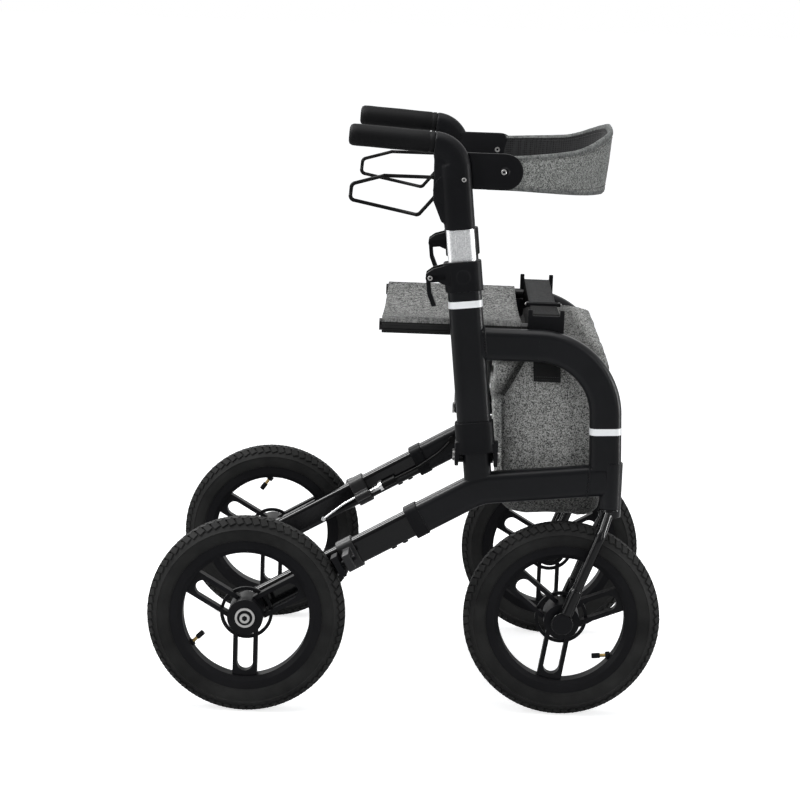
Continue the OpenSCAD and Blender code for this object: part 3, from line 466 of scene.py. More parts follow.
# Half of the section: radius and distance from the wheel's middle plane, in mm.
SECTION = [(113.6, 15.6), (115.6, 17.2), (117.6, 19.8), (123, 22.2), (129, 22.7), (132.6, 22.2),
           (134, 23.2), (135.4, 21.6), (139.5, 18.6), (143.5, 14.2), (146.3, 8), (147.3, 0)]
# Rows of blocks: degrees from the crown's middle, a block's sizes in mm, and which way it slants.
INNER_BLOCK, OUTER_BLOCK = (4.2, 9.5, 9.8), (4.2, 12.8, 9.6)
ROWS = ((-11, INNER_BLOCK, -1), (11, INNER_BLOCK, 1), (-37, OUTER_BLOCK, 1), (37, OUTER_BLOCK, -1))
BLOCKS, BLOCK_SLANT, BLOCK_EDGE = 74, math.radians(24), 0.5 * MM


def tread_blocks():
    bm = bmesh.new()
    for tilt, size, slant in ROWS:
        turn = math.radians(tilt)
        at = Matrix.Translation((CROWN_AT + math.cos(turn) * CROWN_R, math.sin(turn) * CROWN_R, 0))
        stand = at @ Matrix.Rotation(turn, 4, "Z") @ Matrix.Rotation(slant * BLOCK_SLANT, 4, "X")
        for step in range(BLOCKS):
            spin = Matrix.Rotation(math.tau * (step + (0.5 if slant > 0 else 0)) / BLOCKS, 4, "Y")
            box(bm, spin @ stand, [length * MM for length in size])
    soften(bm, bm.edges[:], BLOCK_EDGE, 1)
    for vert in bm.verts:
        shrink = min(1, TREAD_R / math.hypot(vert.co.x, vert.co.z))
        vert.co.x, vert.co.z = vert.co.x * shrink, vert.co.z * shrink
    return bm


def tyre_mesh():
    outline = SECTION + [(radius, -aside) for radius, aside in reversed(SECTION[:-1])]
    bm = turned([(radius * MM, aside * MM, 0) for radius, aside in outline], ALONG_Y, 120, closed=True)
    bmesh.ops.recalc_face_normals(bm, faces=bm.faces)
    blocks = tread_blocks()
    joined = bpy.data.meshes.new("tread")
    blocks.to_mesh(joined)
    blocks.free()
    bm.from_mesh(joined)
    bpy.data.meshes.remove(joined)
    return bm


def wheel_piece(name, bm, wheel, *finishes, sharp=35):
    bmesh.ops.translate(bm, verts=bm.verts, vec=WHEELS[wheel])
    return to_piece(f"{wheel}_{name}", bm, f"{wheel}_wheel", *finishes, sharp=sharp)


for wheel in WHEELS:
    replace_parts(wheel_piece("tyre_tread", tyre_mesh(), wheel, tyre_rubber, sharp=28), f"{wheel}_tyre")
print("tyres", len(WHEELS), "with", BLOCKS * len(ROWS), "blocks each")

# %% [markdown]
# Each inner tube's valve comes through the rim: a nut, a brass thread and a black cap, leaning
# towards the hub. The wheels stopped at odd angles, so every valve has its own place.

# %% Valves
brass = grained("brass", (0.3, 0.2, 0.07), (0.42, 0.3, 0.12), (0.3, 0.45), 900, 0.00003, 1.0)
# Where each valve starts and where its cap is, from the axle, x and z in mm.
VALVES = {"rear_right": ((-81.4, -48.9), (-63.5, -30.9)), "front_right": ((73.2, -56.5), (42.7, -59.3)),
          "rear_left": ((-6.4, 91.9), (-18.1, 75.6)), "front_left": ((-40, 84), (-28, 62))}
# Nut, thread and cap: start along the valve, radius, length, soft edge, sides and finish.
VALVE_STACK = [(-0.004, 0.0056, 0.007, 0.0008, 6, 0), (0, 0.0026, 0.016, 0, 28, 1),
               (0.011, 0.0041, 0.013, 0.0012, 28, 0)]
for wheel, ends in VALVES.items():
    start, cap = (Vector((x, 0, z)) * MM for x, z in ends)
    way = (cap - start).normalized()
    bm = bmesh.new()
    for along, *shape in VALVE_STACK:
        drum(bm, start + way * along, way, *shape)
    wheel_piece("valve", bm, wheel, rim_plastic, brass)
print("valves", len(VALVES))

# %% [markdown]
# The cloth is a melange: pale and dark yarns twisted together, so its grey is made of flecks one or
# two millimetres long. Voronoi cells, stretched once along each yarn, give every fleck its own
# brightness, noise gathers them into faint clouds, and two crossed waves raise the weave.

# %% Cloth finishes
YARNS = ((0.4, 1, 1), (1, 0.4, 0.4))


def melange(name, dark, light, fleck=600, contrast=(0.25, 0.75)):
    finish = shader(name, light, 0.9, Sheen_Weight=0.08, Sheen_Roughness=0.5, Specular_IOR_Level=0.02)
    tree = finish.node_tree
    where = place(tree)
    yarns = []
    for stretch in YARNS:
        cells = add(tree, "TexVoronoi", {"Scale": fleck, "Randomness": 1.0}, Vector=place(tree, stretch))
        yarns.append(add(tree, "SeparateColor", Color=cells.outputs["Color"]).outputs[0])
    twist = add(tree, "Mix", {"Factor": 0.5}, A=yarns[0], B=yarns[1]).outputs[0]
    cloud = add(tree, "TexNoise", {"Scale": 150, "Detail": 5, "Roughness": 0.7}, Vector=where).outputs["Fac"]
    fibre = add(tree, "Mix", {"Factor": 0.24}, A=twist, B=cloud).outputs[0]
    wire(tree, "Base Color", ramp(tree, fibre, dark, light, *contrast))
    waves = [add(tree, "TexWave", {"Scale": 210, "bands_direction": way, "Distortion": 1.5}, Vector=where)
             for way in ("X", "Z")]
    dent(tree, calc(tree, "MULTIPLY", *(wave.outputs["Fac"] for wave in waves)), 0.6, 0.00012)
    return finish


def webbing(name, low, high, direction):
    """Ribbed narrow weave: fine waves along the strap, brighter on each rib's back."""
    finish = shader(name, high, 0.8, Sheen_Weight=0.03, Specular_IOR_Level=0.04)
    tree = finish.node_tree
    wave = add(tree, "TexWave", {"Scale": 190, "bands_direction": direction, "Distortion": 0.6}, place(tree))
    ribs = wave.outputs["Fac"]
    wire(tree, "Base Color", ramp(tree, ribs, low, high, 0.1, 0.9))
    dent(tree, ribs, 0.7, 0.0003)
    return finish


def spacer_mesh(name):
    """Black knitted mesh with small round holes."""
    finish = shader(name, (0.012, 0.012, 0.013), 0.85, Specular_IOR_Level=0.15)
    tree = finish.node_tree
    cells = add(tree, "TexVoronoi", {"Scale": 300, "Randomness": 0.15}, Vector=place(tree))
    holes = cells.outputs["Distance"]
    wire(tree, "Base Color", ramp(tree, holes, (0.002, 0.002, 0.002), (0.02, 0.02, 0.021), 0.2, 0.5))
    dent(tree, holes, 0.8, 0.0004)
    return finish


BLACK_YARN, GREY_YARN = (0.006, 0.006, 0.006), (0.02, 0.02, 0.02)
seat_cloth = melange("seat_cloth", (0.02, 0.02, 0.0195), (0.31, 0.31, 0.3), 640, (0.36, 0.64))
bag_cloth = melange("bag_cloth", (0.05, 0.05, 0.0485), (0.42, 0.42, 0.405), 1300, (0.34, 0.66))
back_cloth = melange("back_cloth", (0.06, 0.063, 0.06), (0.36, 0.365, 0.35), 1300, (0.34, 0.66))
binding = melange("binding", (0.08, 0.083, 0.08), (0.2, 0.205, 0.2))
# Painted shade: the hem is the seat's own cloth, and this darker copy stands for the shade on its rolled edge.
hem_painted_shade = melange("hem_painted_shade", (0.07, 0.07, 0.068), (0.2, 0.2, 0.195))
strap_grey = melange("strap_grey", (0.01, 0.01, 0.01), (0.038, 0.038, 0.038))
strap_black = webbing("strap_black", BLACK_YARN, GREY_YARN, "Y")
tab_black = webbing("tab_black", BLACK_YARN, GREY_YARN, "Z")
back_mesh = spacer_mesh("back_mesh")
thread_grey = shader("thread_grey", (0.05, 0.05, 0.05), 0.8)
thread_black = shader("thread_black", (0.03, 0.03, 0.03), 0.8)
print("cloths ready")

# %% [markdown]
# The seat is one sheet sewn round both rails. Its section runs from the sewn edge under the cloth,
# round the right rail, across with a little sag, and round the left rail. Extruding that line along
# the rails makes the sheet, and Solidify gives it a cloth's thickness.

# %% Seat sling
RAIL_Y, RAIL_Z, HEM_R, HEM_LOW, HEM_IN = 0.205, 0.588, 12.8 * MM, 0.5925, 0.004
SEAT_BACK, SEAT_FRONT, SAG, SEAM_IN = -0.050, 0.160, 0.009, 0.030
SEAT_ROWS, SEAT_RIPPLE, SEAT_DIP = 30, 0.0016, 0.0035
HEM_START, HEM_STEP = -52, 21.8


def sling_line():
    """Points (y, z) of the sheet from its right sewn edge to its left one."""
    half = [(-RAIL_Y + SEAM_IN, RAIL_Z + HEM_R - 0.0062), (-RAIL_Y + SEAM_IN * 0.55, RAIL_Z + 0.0015)]
    for step in range(11):
        turn = math.radians(HEM_START - step * HEM_STEP)
        half.append((-RAIL_Y + math.cos(turn) * HEM_R, RAIL_Z + math.sin(turn) * HEM_R))
    across = [-RAIL_Y + 2 * RAIL_Y * step / 24 for step in range(1, 24)]
    sagging = [(y, RAIL_Z + HEM_R - SAG * (1 - (y / RAIL_Y) ** 2)) for y in across]
    return half + sagging + [(-y, z) for y, z in reversed(half)]


def sheet_mesh(line, start, end, rows):
    """A line of (y, z) points, extruded along X and cut into rows."""
    bm = bmesh.new()
    verts = [bm.verts.new((start, y, z)) for y, z in line]
    edges = [bm.edges.new(pair) for pair in zip(verts, verts[1:])]
    grown = bmesh.ops.extrude_edge_only(bm, edges=edges)["geom"]
    moved = [part for part in grown if isinstance(part, bmesh.types.BMVert)]
    bmesh.ops.translate(bm, verts=moved, vec=(end - start, 0, 0))
    lengthwise = [edge for edge in bm.edges
                  if abs(edge.verts[0].co.x - edge.verts[1].co.x) > (end - start) / 2]
    bmesh.ops.subdivide_edges(bm, edges=lengthwise, cuts=rows - 1, use_grid_fill=True)
    bmesh.ops.recalc_face_normals(bm, faces=bm.faces)
    return bm


def length_of(line):
    return sum((Vector(a) - Vector(b)).length for a, b in zip(line, line[1:]))


def make_cloth(piece, thickness, offset):
    solid = piece.modifiers.new("cloth", "SOLIDIFY")
    solid.thickness, solid.offset = thickness, offset


bm = sheet_mesh(sling_line(), SEAT_BACK, SEAT_FRONT, SEAT_ROWS)
for vert in bm.verts:
    at = vert.co
    if at.z > RAIL_Z + 0.001 - SAG and abs(at.y) < RAIL_Y - 0.012:
        inner = max(0.0, 1 - (at.y / (RAIL_Y - HEM_IN)) ** 2)
        ripple = noise.noise(Vector((at.x * 16, at.y * 9, 0.3)))
        edge = min(at.x - SEAT_BACK, SEAT_FRONT - at.x) / (SEAT_FRONT - SEAT_BACK) * 2
        at.z += inner * (SEAT_RIPPLE * ripple - SEAT_DIP * edge)
bm.normal_update()
if min(bm.faces, key=lambda face: face.calc_center_median().xy.length).normal.z < 0:
    bmesh.ops.reverse_faces(bm, faces=bm.faces)
for face in bm.faces:
    at = face.calc_center_median()
    # The hem's upper faces take the darker copy of the seat cloth, painted shade; its lower faces take the
    # black webbing.
    if abs(at.y) > RAIL_Y - HEM_IN:
        face.material_index = 1 if at.z > HEM_LOW else 2
seat = to_piece("seat_cloth", bm, None, seat_cloth, hem_painted_shade, strap_black, sharp=80)
make_cloth(seat, 2.6 * MM, -1)
sewn = length_of(sling_line())
print("seat cut", round(sewn, 3), "by", SEAT_FRONT - SEAT_BACK, "m")
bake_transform(seat)
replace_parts(seat, "seat_sling")

# %% [markdown]
# The backrest is a padded band that runs from bracket to bracket round the front, low at the ends
# and taller in its middle. One soft-edged section is carried along the curve and stretched to the
# band's height at each step. The outside is melange, the inside knitted mesh, and the edges are
# bound, so faces get their finish by which way they look.

# %% Backrest band
BAND_BACK, BAND_CORNER, BAND_HALF, BAND_STRAIGHT = 0.0992, 0.1740, 0.2240, 0.014
BAND_FLAT = BAND_HALF - BAND_CORNER
BAND_STEPS, BAND_LEAN, BAND_PIVOT, BINDING_SHARE = 96, 0.012, 0.6, 0.09
# Distance from the middle plane, then the height of the lower and the upper edge there, in mm.
BAND_TRIM = [(224, 798, 849), (213, 795.5, 852), (196, 792.6, 854.8), (174, 790, 858.2), (151, 788.4, 865),
             (131, 787.6, 871.6), (100, 786.6, 879), (60, 785.6, 884.5), (25, 785.1, 887), (0, 785, 887.5)]
# Half of the section: share of the height, and half the thickness there in mm.
BAND_SECTION = [(0.0, 1.2), (0.03, 3.6), (0.075, 4.4), (0.11, 3.5), (0.2, 4.1), (0.5, 4.6), (0.8, 4.1),
                (0.89, 3.5), (0.925, 4.4), (0.97, 3.6), (1.0, 1.2)]
STITCH_STEPS, STITCH_OUT, STITCH = 3 * BAND_STEPS, 3.9 * MM, (0.00045, 0.00045, 0.00085)


def band_curve(step, steps):
    """Place and outward direction along the band, right end first."""
    arc = BAND_CORNER * math.pi / 2
    total = 2 * BAND_STRAIGHT + 2 * arc + 2 * BAND_FLAT
    run = total * step / steps
    mirror = run > total / 2
    run = total - run if mirror else run
    if run < BAND_STRAIGHT:
        at, out = Vector((BAND_BACK + run, -BAND_HALF, 0)), Vector((0, -1, 0))
    elif run < BAND_STRAIGHT + arc:
        turn = (run - BAND_STRAIGHT) / BAND_CORNER
        out = Vector((math.sin(turn), -math.cos(turn), 0))
        at = Vector((BAND_BACK + BAND_STRAIGHT, -BAND_FLAT, 0)) + out * BAND_CORNER
    else:
        out = Vector((1, 0, 0))
        at = Vector((BAND_BACK + BAND_STRAIGHT + BAND_CORNER, -BAND_FLAT + run - BAND_STRAIGHT - arc, 0))
    if mirror:
        at.y, out.y = -at.y, -out.y
    return at, out


def band_edges(y):
    """Heights of the band's lower and upper edge; the upper one stays low and lifts near the front."""
    for out, inner in zip(BAND_TRIM, BAND_TRIM[1:]):
        if abs(y) >= inner[0] * MM:
            share = min(1, (out[0] * MM - abs(y)) / ((out[0] - inner[0]) * MM))
            return [(a + (b - a) * share) * MM for a, b in zip(out[1:], inner[1:])]


def band_point(step, steps, share, off):
    """A point on the band: how far along it, how high up its section, and how far off its middle."""
    at, out = band_curve(step, steps)
    low, high = band_edges(at.y)
    lean = BAND_LEAN * math.cos(math.pi / 2 * min(1, abs(at.y) / BAND_HALF)) ** 2
    return at + out * (off + lean * (share - BAND_PIVOT)) + Vector((0, 0, low + (high - low) * share))


def band_ring(step):
    ends = min(step, BAND_STEPS - step)
    thin = 0.5 if ends == 0 else 0.8 if ends == 1 else 1
    outline = BAND_SECTION + [(share, -half) for share, half in reversed(BAND_SECTION)]
    return [band_point(step, BAND_STEPS, share, half * MM * thin) for share, half in outline]


bm = bmesh.new()
loft(bm, [band_ring(step) for step in range(BAND_STEPS + 1)])
bmesh.ops.recalc_face_normals(bm, faces=bm.faces)
for face in bm.faces:
    at = face.calc_center_median()
    low, high = band_edges(at.y)
    share = (at.z - low) / (high - low)
    outward = face.normal.x * (at.x - BAND_BACK) + face.normal.y * at.y
    bound = share < BINDING_SHARE or share > 1 - BINDING_SHARE
    face.material_index = 1 if bound else 0 if outward > 0 else 2
for share, side in ((0.135, 1), (0.865, 1), (0.135, -1), (0.865, -1)):
    for step in range(3, STITCH_STEPS - 3):
        way = band_curve(step + 1, STITCH_STEPS)[0] - band_curve(step, STITCH_STEPS)[0]
        bead(bm, aim(band_point(step, STITCH_STEPS, share, side * STITCH_OUT), way), STITCH, mat=3)
band = to_piece("backrest_pad", bm, "right_handle", back_cloth, binding, back_mesh, thread_grey, sharp=70)
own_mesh(band)
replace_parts(band, "backrest_band")
print("band runs", len(band.data.polygons), "faces")

# %% [markdown]
# The bag is one lofted shell that hangs from the strap and the two hooks. Rounded rings are bridged
# from the base up to the mouth, which is drawn together in the middle, so that the top falls away to
# both sides like a tent. Ridged noise starts the creases, most of all on the gusset and at the mouth.

# %% Bag shell
# Height, rear, front and half width, in mm.
BAG_LEVELS = [(303, 200, 238, 90), (302.5, 178, 258, 150), (303, 158, 275, 188), (307, 142, 287, 203),
              (316, 132, 295, 209), (345, 124.5, 302, 212), (452, 124.5, 305, 212), (535, 125, 303, 212),
              (550, 152, 297.5, 212), (560, 174, 290, 209), (567, 175, 283.5, 196), (575, 176, 276, 150),
              (582, 177, 269, 100), (589, 178, 263, 50), (593.5, 186, 255, 18)]
RING_GAP_MM, BAG_CORNER, GUSSET_X = 6, 0.03, 0.128


def soft_rectangle(rear, front, half, corner, count=184):
    """Evenly spaced points round a rectangle with round corners, starting at its front middle."""
    wide, deep = (front - rear) / 2 - corner, half - corner
    arc = corner * math.pi / 2
    parts = [deep, arc, 2 * wide, arc, 2 * deep, arc, 2 * wide, arc, deep]
    centre = Vector(((rear + front) / 2, 0, 0))
    points = []
    for step in range(count):
        run, piece = sum(parts) * step / count, 0
        while run > parts[piece]:
            run -= parts[piece]
            piece += 1
        straight = piece % 2 == 0
        turn = math.pi / 2 * (piece // 2) + (0 if straight else run / corner)
        out = Vector((math.cos(turn), math.sin(turn), 0))
        if straight:
            reach, far = (deep, wide) if piece in (0, 4, 8) else (wide, deep)
            begin = 0 if piece == 0 else -reach
            base = out * (far + corner) + Vector((-out.y, out.x, 0)) * (begin + run)
        else:
            middle = Vector((wide if piece in (1, 7) else -wide, deep if piece in (1, 3) else -deep, 0))
            base = middle + out * corner
        points.append(base + centre)
    return points


def bag_rings():
    """Rings from the base to the mouth, a few millimetres apart."""
    for low, high in zip(BAG_LEVELS, BAG_LEVELS[1:] + BAG_LEVELS[-1:]):
        steps = max(1, math.ceil(max(abs(a - b) for a, b in zip(low, high)) / RING_GAP_MM))
        for step in range(steps):
            z, rear, front, half = (MM * (a + (b - a) * step / steps) for a, b in zip(low, high))
            corner = min(BAG_CORNER, 0.8 * half, 0.4 * (front - rear))
            yield [p + Vector((0, 0, z)) for p in soft_rectangle(rear, front, half, corner)]


bm = bmesh.new()
rings = loft(bm, list(bag_rings()))
bmesh.ops.recalc_face_normals(bm, faces=bm.faces)
for vert in bm.verts:
    at = vert.co
    crease = noise.ridged_multi_fractal(Vector((at.x * 14, at.y * 7, at.z * 9)), 0.9, 2.1, 3, 1.0, 2.0) - 1.1
    gusset = rise(abs(at.x - GUSSET_X), 0.03, 0) * rise(at.z, 0.56, 0.51)
    mouth = rise(at.z, 0.53, 0.57)
    bottom = rise(at.z, 0.335, 0.315)
    front = rise(at.x, 0.23, 0.26)
    depth = 0.0004 + 0.003 * gusset + (0.0022 + 0.002 * front) * mouth + 0.0015 * bottom
    vert.co += vert.normal * crease * depth
bag = to_piece("bag_shell", bm, None, bag_cloth, strap_black, sharp=80)
print("bag rings", len(rings))

# %% [markdown]
# The bag's gusset and the tuck above it are painted paler than the side panels, a painted light.
# The fold under the side panel's slanted edge has painted shade, and so have the seam, the base and
# the gathered top. The change of tone must not follow the mesh, so the finish itself measures how
# far a place lies from a few planes.

# %% Painted light and shade on the bag's cloth


def span(tree, source, start, end):
    """0 at one value of a socket and 1 at another, held outside them."""
    return add(tree, "MapRange", {"From Min": start, "From Max": end}, source).outputs[0]


def past_plane(tree, where, x, z, shift):
    """x times the place's X, plus z times its Z, plus a shift."""
    dot = add(tree, "VectorMath", {"operation": "DOT_PRODUCT"}, where, (x, 0, z))
    return calc(tree, "ADD", dot.outputs["Value"], shift)


tree = bag_cloth.node_tree
where = place(tree)
height = past_plane(tree, where, 0, 1, 0)
upright = past_plane(tree, where, 1, 0.0404, -0.1563)
slanted = past_plane(tree, where, 0.886, -0.4655, 0.10113)
sloping = past_plane(tree, where, 1, 0.977, -0.8349)
# Painted light: the gusset and the tuck above it turn paler than the side panel.
gusset = calc(tree, "MULTIPLY", span(tree, upright, 0.0005, -0.0025), span(tree, height, 0.5, 0.485))
tucked = calc(tree, "MULTIPLY", span(tree, slanted, 0.0008, -0.0008), span(tree, height, 0.474, 0.486))
near_seam = span(tree, calc(tree, "ABSOLUTE", upright), 0.004, 0.0005)
seam = calc(tree, "MULTIPLY", near_seam, span(tree, height, 0.5, 0.48))
base = span(tree, height, 0.352, 0.33)
gathered = calc(tree, "MULTIPLY", span(tree, height, 0.546, 0.552), span(tree, sloping, -0.001, -0.016))
# Painted shade: the fold under the slanted edge, the seam, the base and the gathered top turn darker.
dark = calc(tree, "MULTIPLY", tucked, span(tree, slanted, -0.026, -0.006))
for part, share in ((seam, 0.55), (base, 0.6), (gathered, 0.62)):
    dark = calc(tree, "MAXIMUM", dark, calc(tree, "MULTIPLY", part, share))
painted_light = calc(tree, "ADD", calc(tree, "MULTIPLY", calc(tree, "MAXIMUM", gusset, tucked), 1.35), 1.0)
painted_shade = calc(tree, "SUBTRACT", 1.0, calc(tree, "MULTIPLY", dark, 0.9))
plain = tree.nodes["Principled BSDF"].inputs["Base Color"].links[0].from_socket
painted_tones = add(tree, "MixRGB", {"blend_type": "MULTIPLY", "Fac": 1.0},
            Color1=plain, Color2=calc(tree, "MULTIPLY", painted_light, painted_shade))
wire(tree, "Base Color", painted_tones.outputs[0])
print("bag finish has", len(tree.nodes), "nodes")

# %% [markdown]
# The cloth solver hangs the bag: the top is pinned, the cloth is cut a little too large, and gravity
# lets the spare cloth buckle into creases. How far a point may move is capped. After that come the
# forms that sewing makes, and the bag is kept clear of the braces behind it and of the tubes beside it.

# %% Hanging the bag
# Folds in the bag's sides: two ends (x, z), depth and half width, all in mm.
BAG_FOLDS = [((139, 428), (158, 399), 4.5, 5), ((128, 500), (152, 462), 2.5, 6)]
# The side panel's rear edge, height and place in mm: from the last but one point up, the gusset tucks in.
PANEL_EDGE = [(280, 145), (402, 140.5), (478, 137), (545, 172)]
TUCK_Z, TUCK_X = (length * MM for length in PANEL_EDGE[-2])
TUCK_TOP, TUCK_DEPTH, SNAP = 0.552, 0.009, 0.0033
GATHER_RISE, GATHER_PITCH, GATHER_DRIFT = 0.002, 0.036, 0.016
BULGE, BULGE_Y, BULGE_Z, BULGE_FRONT = 0.010, 0.168, 0.495, 0.135
# The braces behind the bag and their bolt, and how far forward the cloth stays there.
BRACE_FOOT_Y, BRACE_FOOT_Z, BRACE_SLOPE, CROSS_BOLT_Z = 0.205, 0.391, 0.4805, 0.4895
BRACE_HALF, BOLT_R = 0.014, 0.017
CLEAR_OF_BOLT, CLEAR_OF_BRACE, REAR_MOST, LOWEST = 0.1284, 0.1238, 0.1165, 0.2985
# Half the room between the brackets, the columns and the hoops, and where the columns end.
INSIDE_BRACKETS, INSIDE_COLUMNS, INSIDE_HOOPS, COLUMN_FRONT, HOOP_LOW = 0.193, 0.2165, 0.2127, 0.146, 0.5


def hang(piece, pinned, spare, cap, frames=20):
    """Lets the cloth solver drape a piece, then keeps the result with capped moves."""
    group = piece.vertex_groups.new(name="held")
    for vert in piece.data.vertices:
        group.add([vert.index], pinned(vert.co), "REPLACE")
    cloth = piece.modifiers.new("drape", "CLOTH")
    cloth.settings.quality = 6
    cloth.settings.mass = 0.25
    cloth.settings.tension_stiffness = cloth.settings.compression_stiffness = 20
    cloth.settings.shear_stiffness = 8
    cloth.settings.bending_stiffness = 0.6
    cloth.settings.shrink_min = -spare
    cloth.settings.vertex_group_mass = "held"
    cloth.collision_settings.use_collision = False
    for frame_now in range(1, frames + 1):
        scene.frame_set(frame_now)
    solved = piece.evaluated_get(bpy.context.evaluated_depsgraph_get()).to_mesh()
    moved = [vert.co.copy() for vert in solved.vertices]
    piece.modifiers.remove(cloth)
    scene.frame_set(1)
    for vert, after in zip(piece.data.vertices, moved):
        step = after - vert.co
        vert.co += step * min(1, cap / max(step.length, 1e-9))


def panel_edge(z):
    for (z1, x1), (z2, x2) in zip(PANEL_EDGE, PANEL_EDGE[1:]):
        if z <= z2 * MM or z2 == PANEL_EDGE[-1][0]:
            return (x1 + (x2 - x1) * (z / MM - z1) / (z2 - z1)) * MM


def press_folds(at, side):
    """Two slanted folds in each side, with a low swell along both their banks."""
    for (x1, z1), (x2, z2), depth, half in BAG_FOLDS:
        run = Vector((x2 - x1, z2 - z1))
        spot = Vector((at.x / MM - x1, at.z / MM - z1))
        along = spot.dot(run) / run.length_squared
        off = (spot.x * run.y - spot.y * run.x) / run.length / half
        ends = min(rise(along, -0.15, 0.1), rise(along, 1.15, 0.9))
        dip = depth * (math.exp(-off * off) - 0.45 * math.exp(-(abs(off) - 2.2) ** 2))
        at.y -= math.copysign(dip * ends * side * MM, at.y)


def tuck_gusset(at, side):
    """Draws the mesh to the panel's edge, and the gusset in under it."""
    edge = panel_edge(at.z)
    if side and abs(at.x - edge) < SNAP and 0.34 < at.z < 0.545:
        at.x = edge
    tuck = min(rise(at.x, TUCK_X, TUCK_X + 0.004), rise(at.x, edge, edge - 0.004),
               rise(at.z, TUCK_Z, TUCK_Z + 0.01), rise(at.z, TUCK_TOP, TUCK_TOP - 0.008))
    at.y -= math.copysign(TUCK_DEPTH * tuck * side, at.y)


def gather_top(at):
    """Small uneven gathers across the top."""
    gather = rise(at.z, 0.556, 0.568) * rise(at.x, 0.184, 0.214)
    shifted = at.y + GATHER_DRIFT * noise.noise(Vector((at.x * 20, at.y * 16, 3)))
    at.z += gather * GATHER_RISE * math.sin(math.tau * shifted / GATHER_PITCH)


def keep_clear(at):
    """Rear corners bulge; braces, bolt, columns and hoops keep their room."""
    if at.x < BULGE_FRONT:
        at.x -= BULGE * rise(abs(abs(at.y) - BULGE_Y), 0.045, 0) * rise(abs(at.z - BULGE_Z), 0.098, 0.028)
    rise_to_here = (BRACE_FOOT_Y - at.y) * BRACE_SLOPE
    brace_off = abs(at.z - BRACE_FOOT_Z - rise_to_here) / math.hypot(1, BRACE_SLOPE)
    bolt_off = math.hypot(at.y, at.z - CROSS_BOLT_Z)
    rear = CLEAR_OF_BOLT if bolt_off < BOLT_R else CLEAR_OF_BRACE if brace_off < BRACE_HALF else REAR_MOST
    at.x = max(at.x, rear)
    room = INSIDE_COLUMNS if at.z < HOOP_LOW else INSIDE_HOOPS
    if at.x < COLUMN_FRONT:
        off_bracket = min(rise(abs(at.z - BRACE_FOOT_Z), 0.02, 0.045), rise(at.z, 0.55, 0.53))
        room = INSIDE_BRACKETS + (INSIDE_COLUMNS - INSIDE_BRACKETS) * off_bracket
    at.y = max(-room, min(room, at.y))
    at.z = max(LOWEST, at.z)


hang(bag, lambda at: rise(at.z, 0.55, 0.58), spare=0.02, cap=0.007)
for vert in bag.data.vertices:
    side = rise(abs(vert.co.y), 0.17, 0.20)
    press_folds(vert.co, side)
    tuck_gusset(vert.co, side)
    gather_top(vert.co)
    keep_clear(vert.co)
for face in bag.data.polygons:
    if face.center.z > 0.562 and face.center.x < 0.183:
        face.material_index = 1
make_cloth(bag, 1.4 * MM, -1)
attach(bag, "right_frame")
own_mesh(bag)
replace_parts(bag, "bag")

# %% [markdown]
# One webbing strap carries the bag. It is sewn low on each side of the bag, goes up inside the hoop,
# through the hook, and across the mouth, where a bar buckle joins the black end to the grey one.

# %% Strap, buckle and stitching
STRAP_X, STRAP_HALF, STRAP_Z, STRAP_SAG, STRAP_BEND = 0.197, 0.0205, 0.6121, 0.0035, 0.006
TAB_Y, TAB_LOW, TAB_TOP, TAB_LEAN = 0.2141, 0.510, STRAP_Z - 0.008, 0.0065
BUCKLE_Y, BUCKLE_THICK, STITCH_PITCH = -0.090, 0.0055, 0.0027
# The buckle's bars: place from its middle, then length along X and Y.
BUCKLE_BARS = [(0, -0.006, 0.052, 0.004), (0, 0.006, 0.052, 0.004), (-0.0245, 0, 0.004, 0.016),
               (0.0245, 0, 0.004, 0.016)]


def strap_line():
    """Points (y, z) from the right sewn end over the mouth to the left one."""
    foot = STRAP_Z - STRAP_BEND
    half = [(-TAB_Y, TAB_LOW + (foot - TAB_LOW) * step / 12) for step in range(13)]
    for turn in (math.pi / 2 * step / 5 for step in range(1, 6)):
        half.append((-TAB_Y + STRAP_BEND - STRAP_BEND * math.cos(turn), foot + STRAP_BEND * math.sin(turn)))
    across = [-TAB_Y + STRAP_BEND + 2 * (TAB_Y - STRAP_BEND) * step / 40 for step in range(1, 40)]
    sagging = [(y, STRAP_Z - STRAP_SAG * (1 - (y / TAB_Y) ** 2)) for y in across]
    return half + sagging + [(-y, z) for y, z in reversed(half)]


bm = sheet_mesh(strap_line(), STRAP_X - STRAP_HALF, STRAP_X + STRAP_HALF, 8)
for face in bm.faces:
    at = face.calc_center_median()
    face.material_index = 2 if at.z < TAB_TOP else 1 if at.y > BUCKLE_Y else 0
for vert in bm.verts:
    vert.co.x += TAB_LEAN * max(0, TAB_TOP - vert.co.z) / (STRAP_Z - TAB_LOW)
strap = to_piece("bag_webbing", bm, "right_frame", strap_black, strap_grey, tab_black, sharp=60)
make_cloth(strap, 1.5 * MM, 0)
cut = length_of(strap_line())
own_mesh(strap)
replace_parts(strap, "bag_strap")

bm = bmesh.new()
for x, y, wide, deep in BUCKLE_BARS:
    box(bm, Matrix.Translation((STRAP_X + x, BUCKLE_Y + y, STRAP_Z - 0.0005)), (wide, deep, BUCKLE_THICK))
soften(bm, bm.edges[:], 0.0012, 3)
for end in (-1, 1):
    drum(bm, (STRAP_X + end * 0.0265, BUCKLE_Y - 0.006, STRAP_Z), (end, 0, 0), 0.0021, 0.0018, 0.0005, mat=1)
buckle = to_piece("strap_buckle", bm, "right_frame", black_plastic, steel)
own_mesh(buckle)

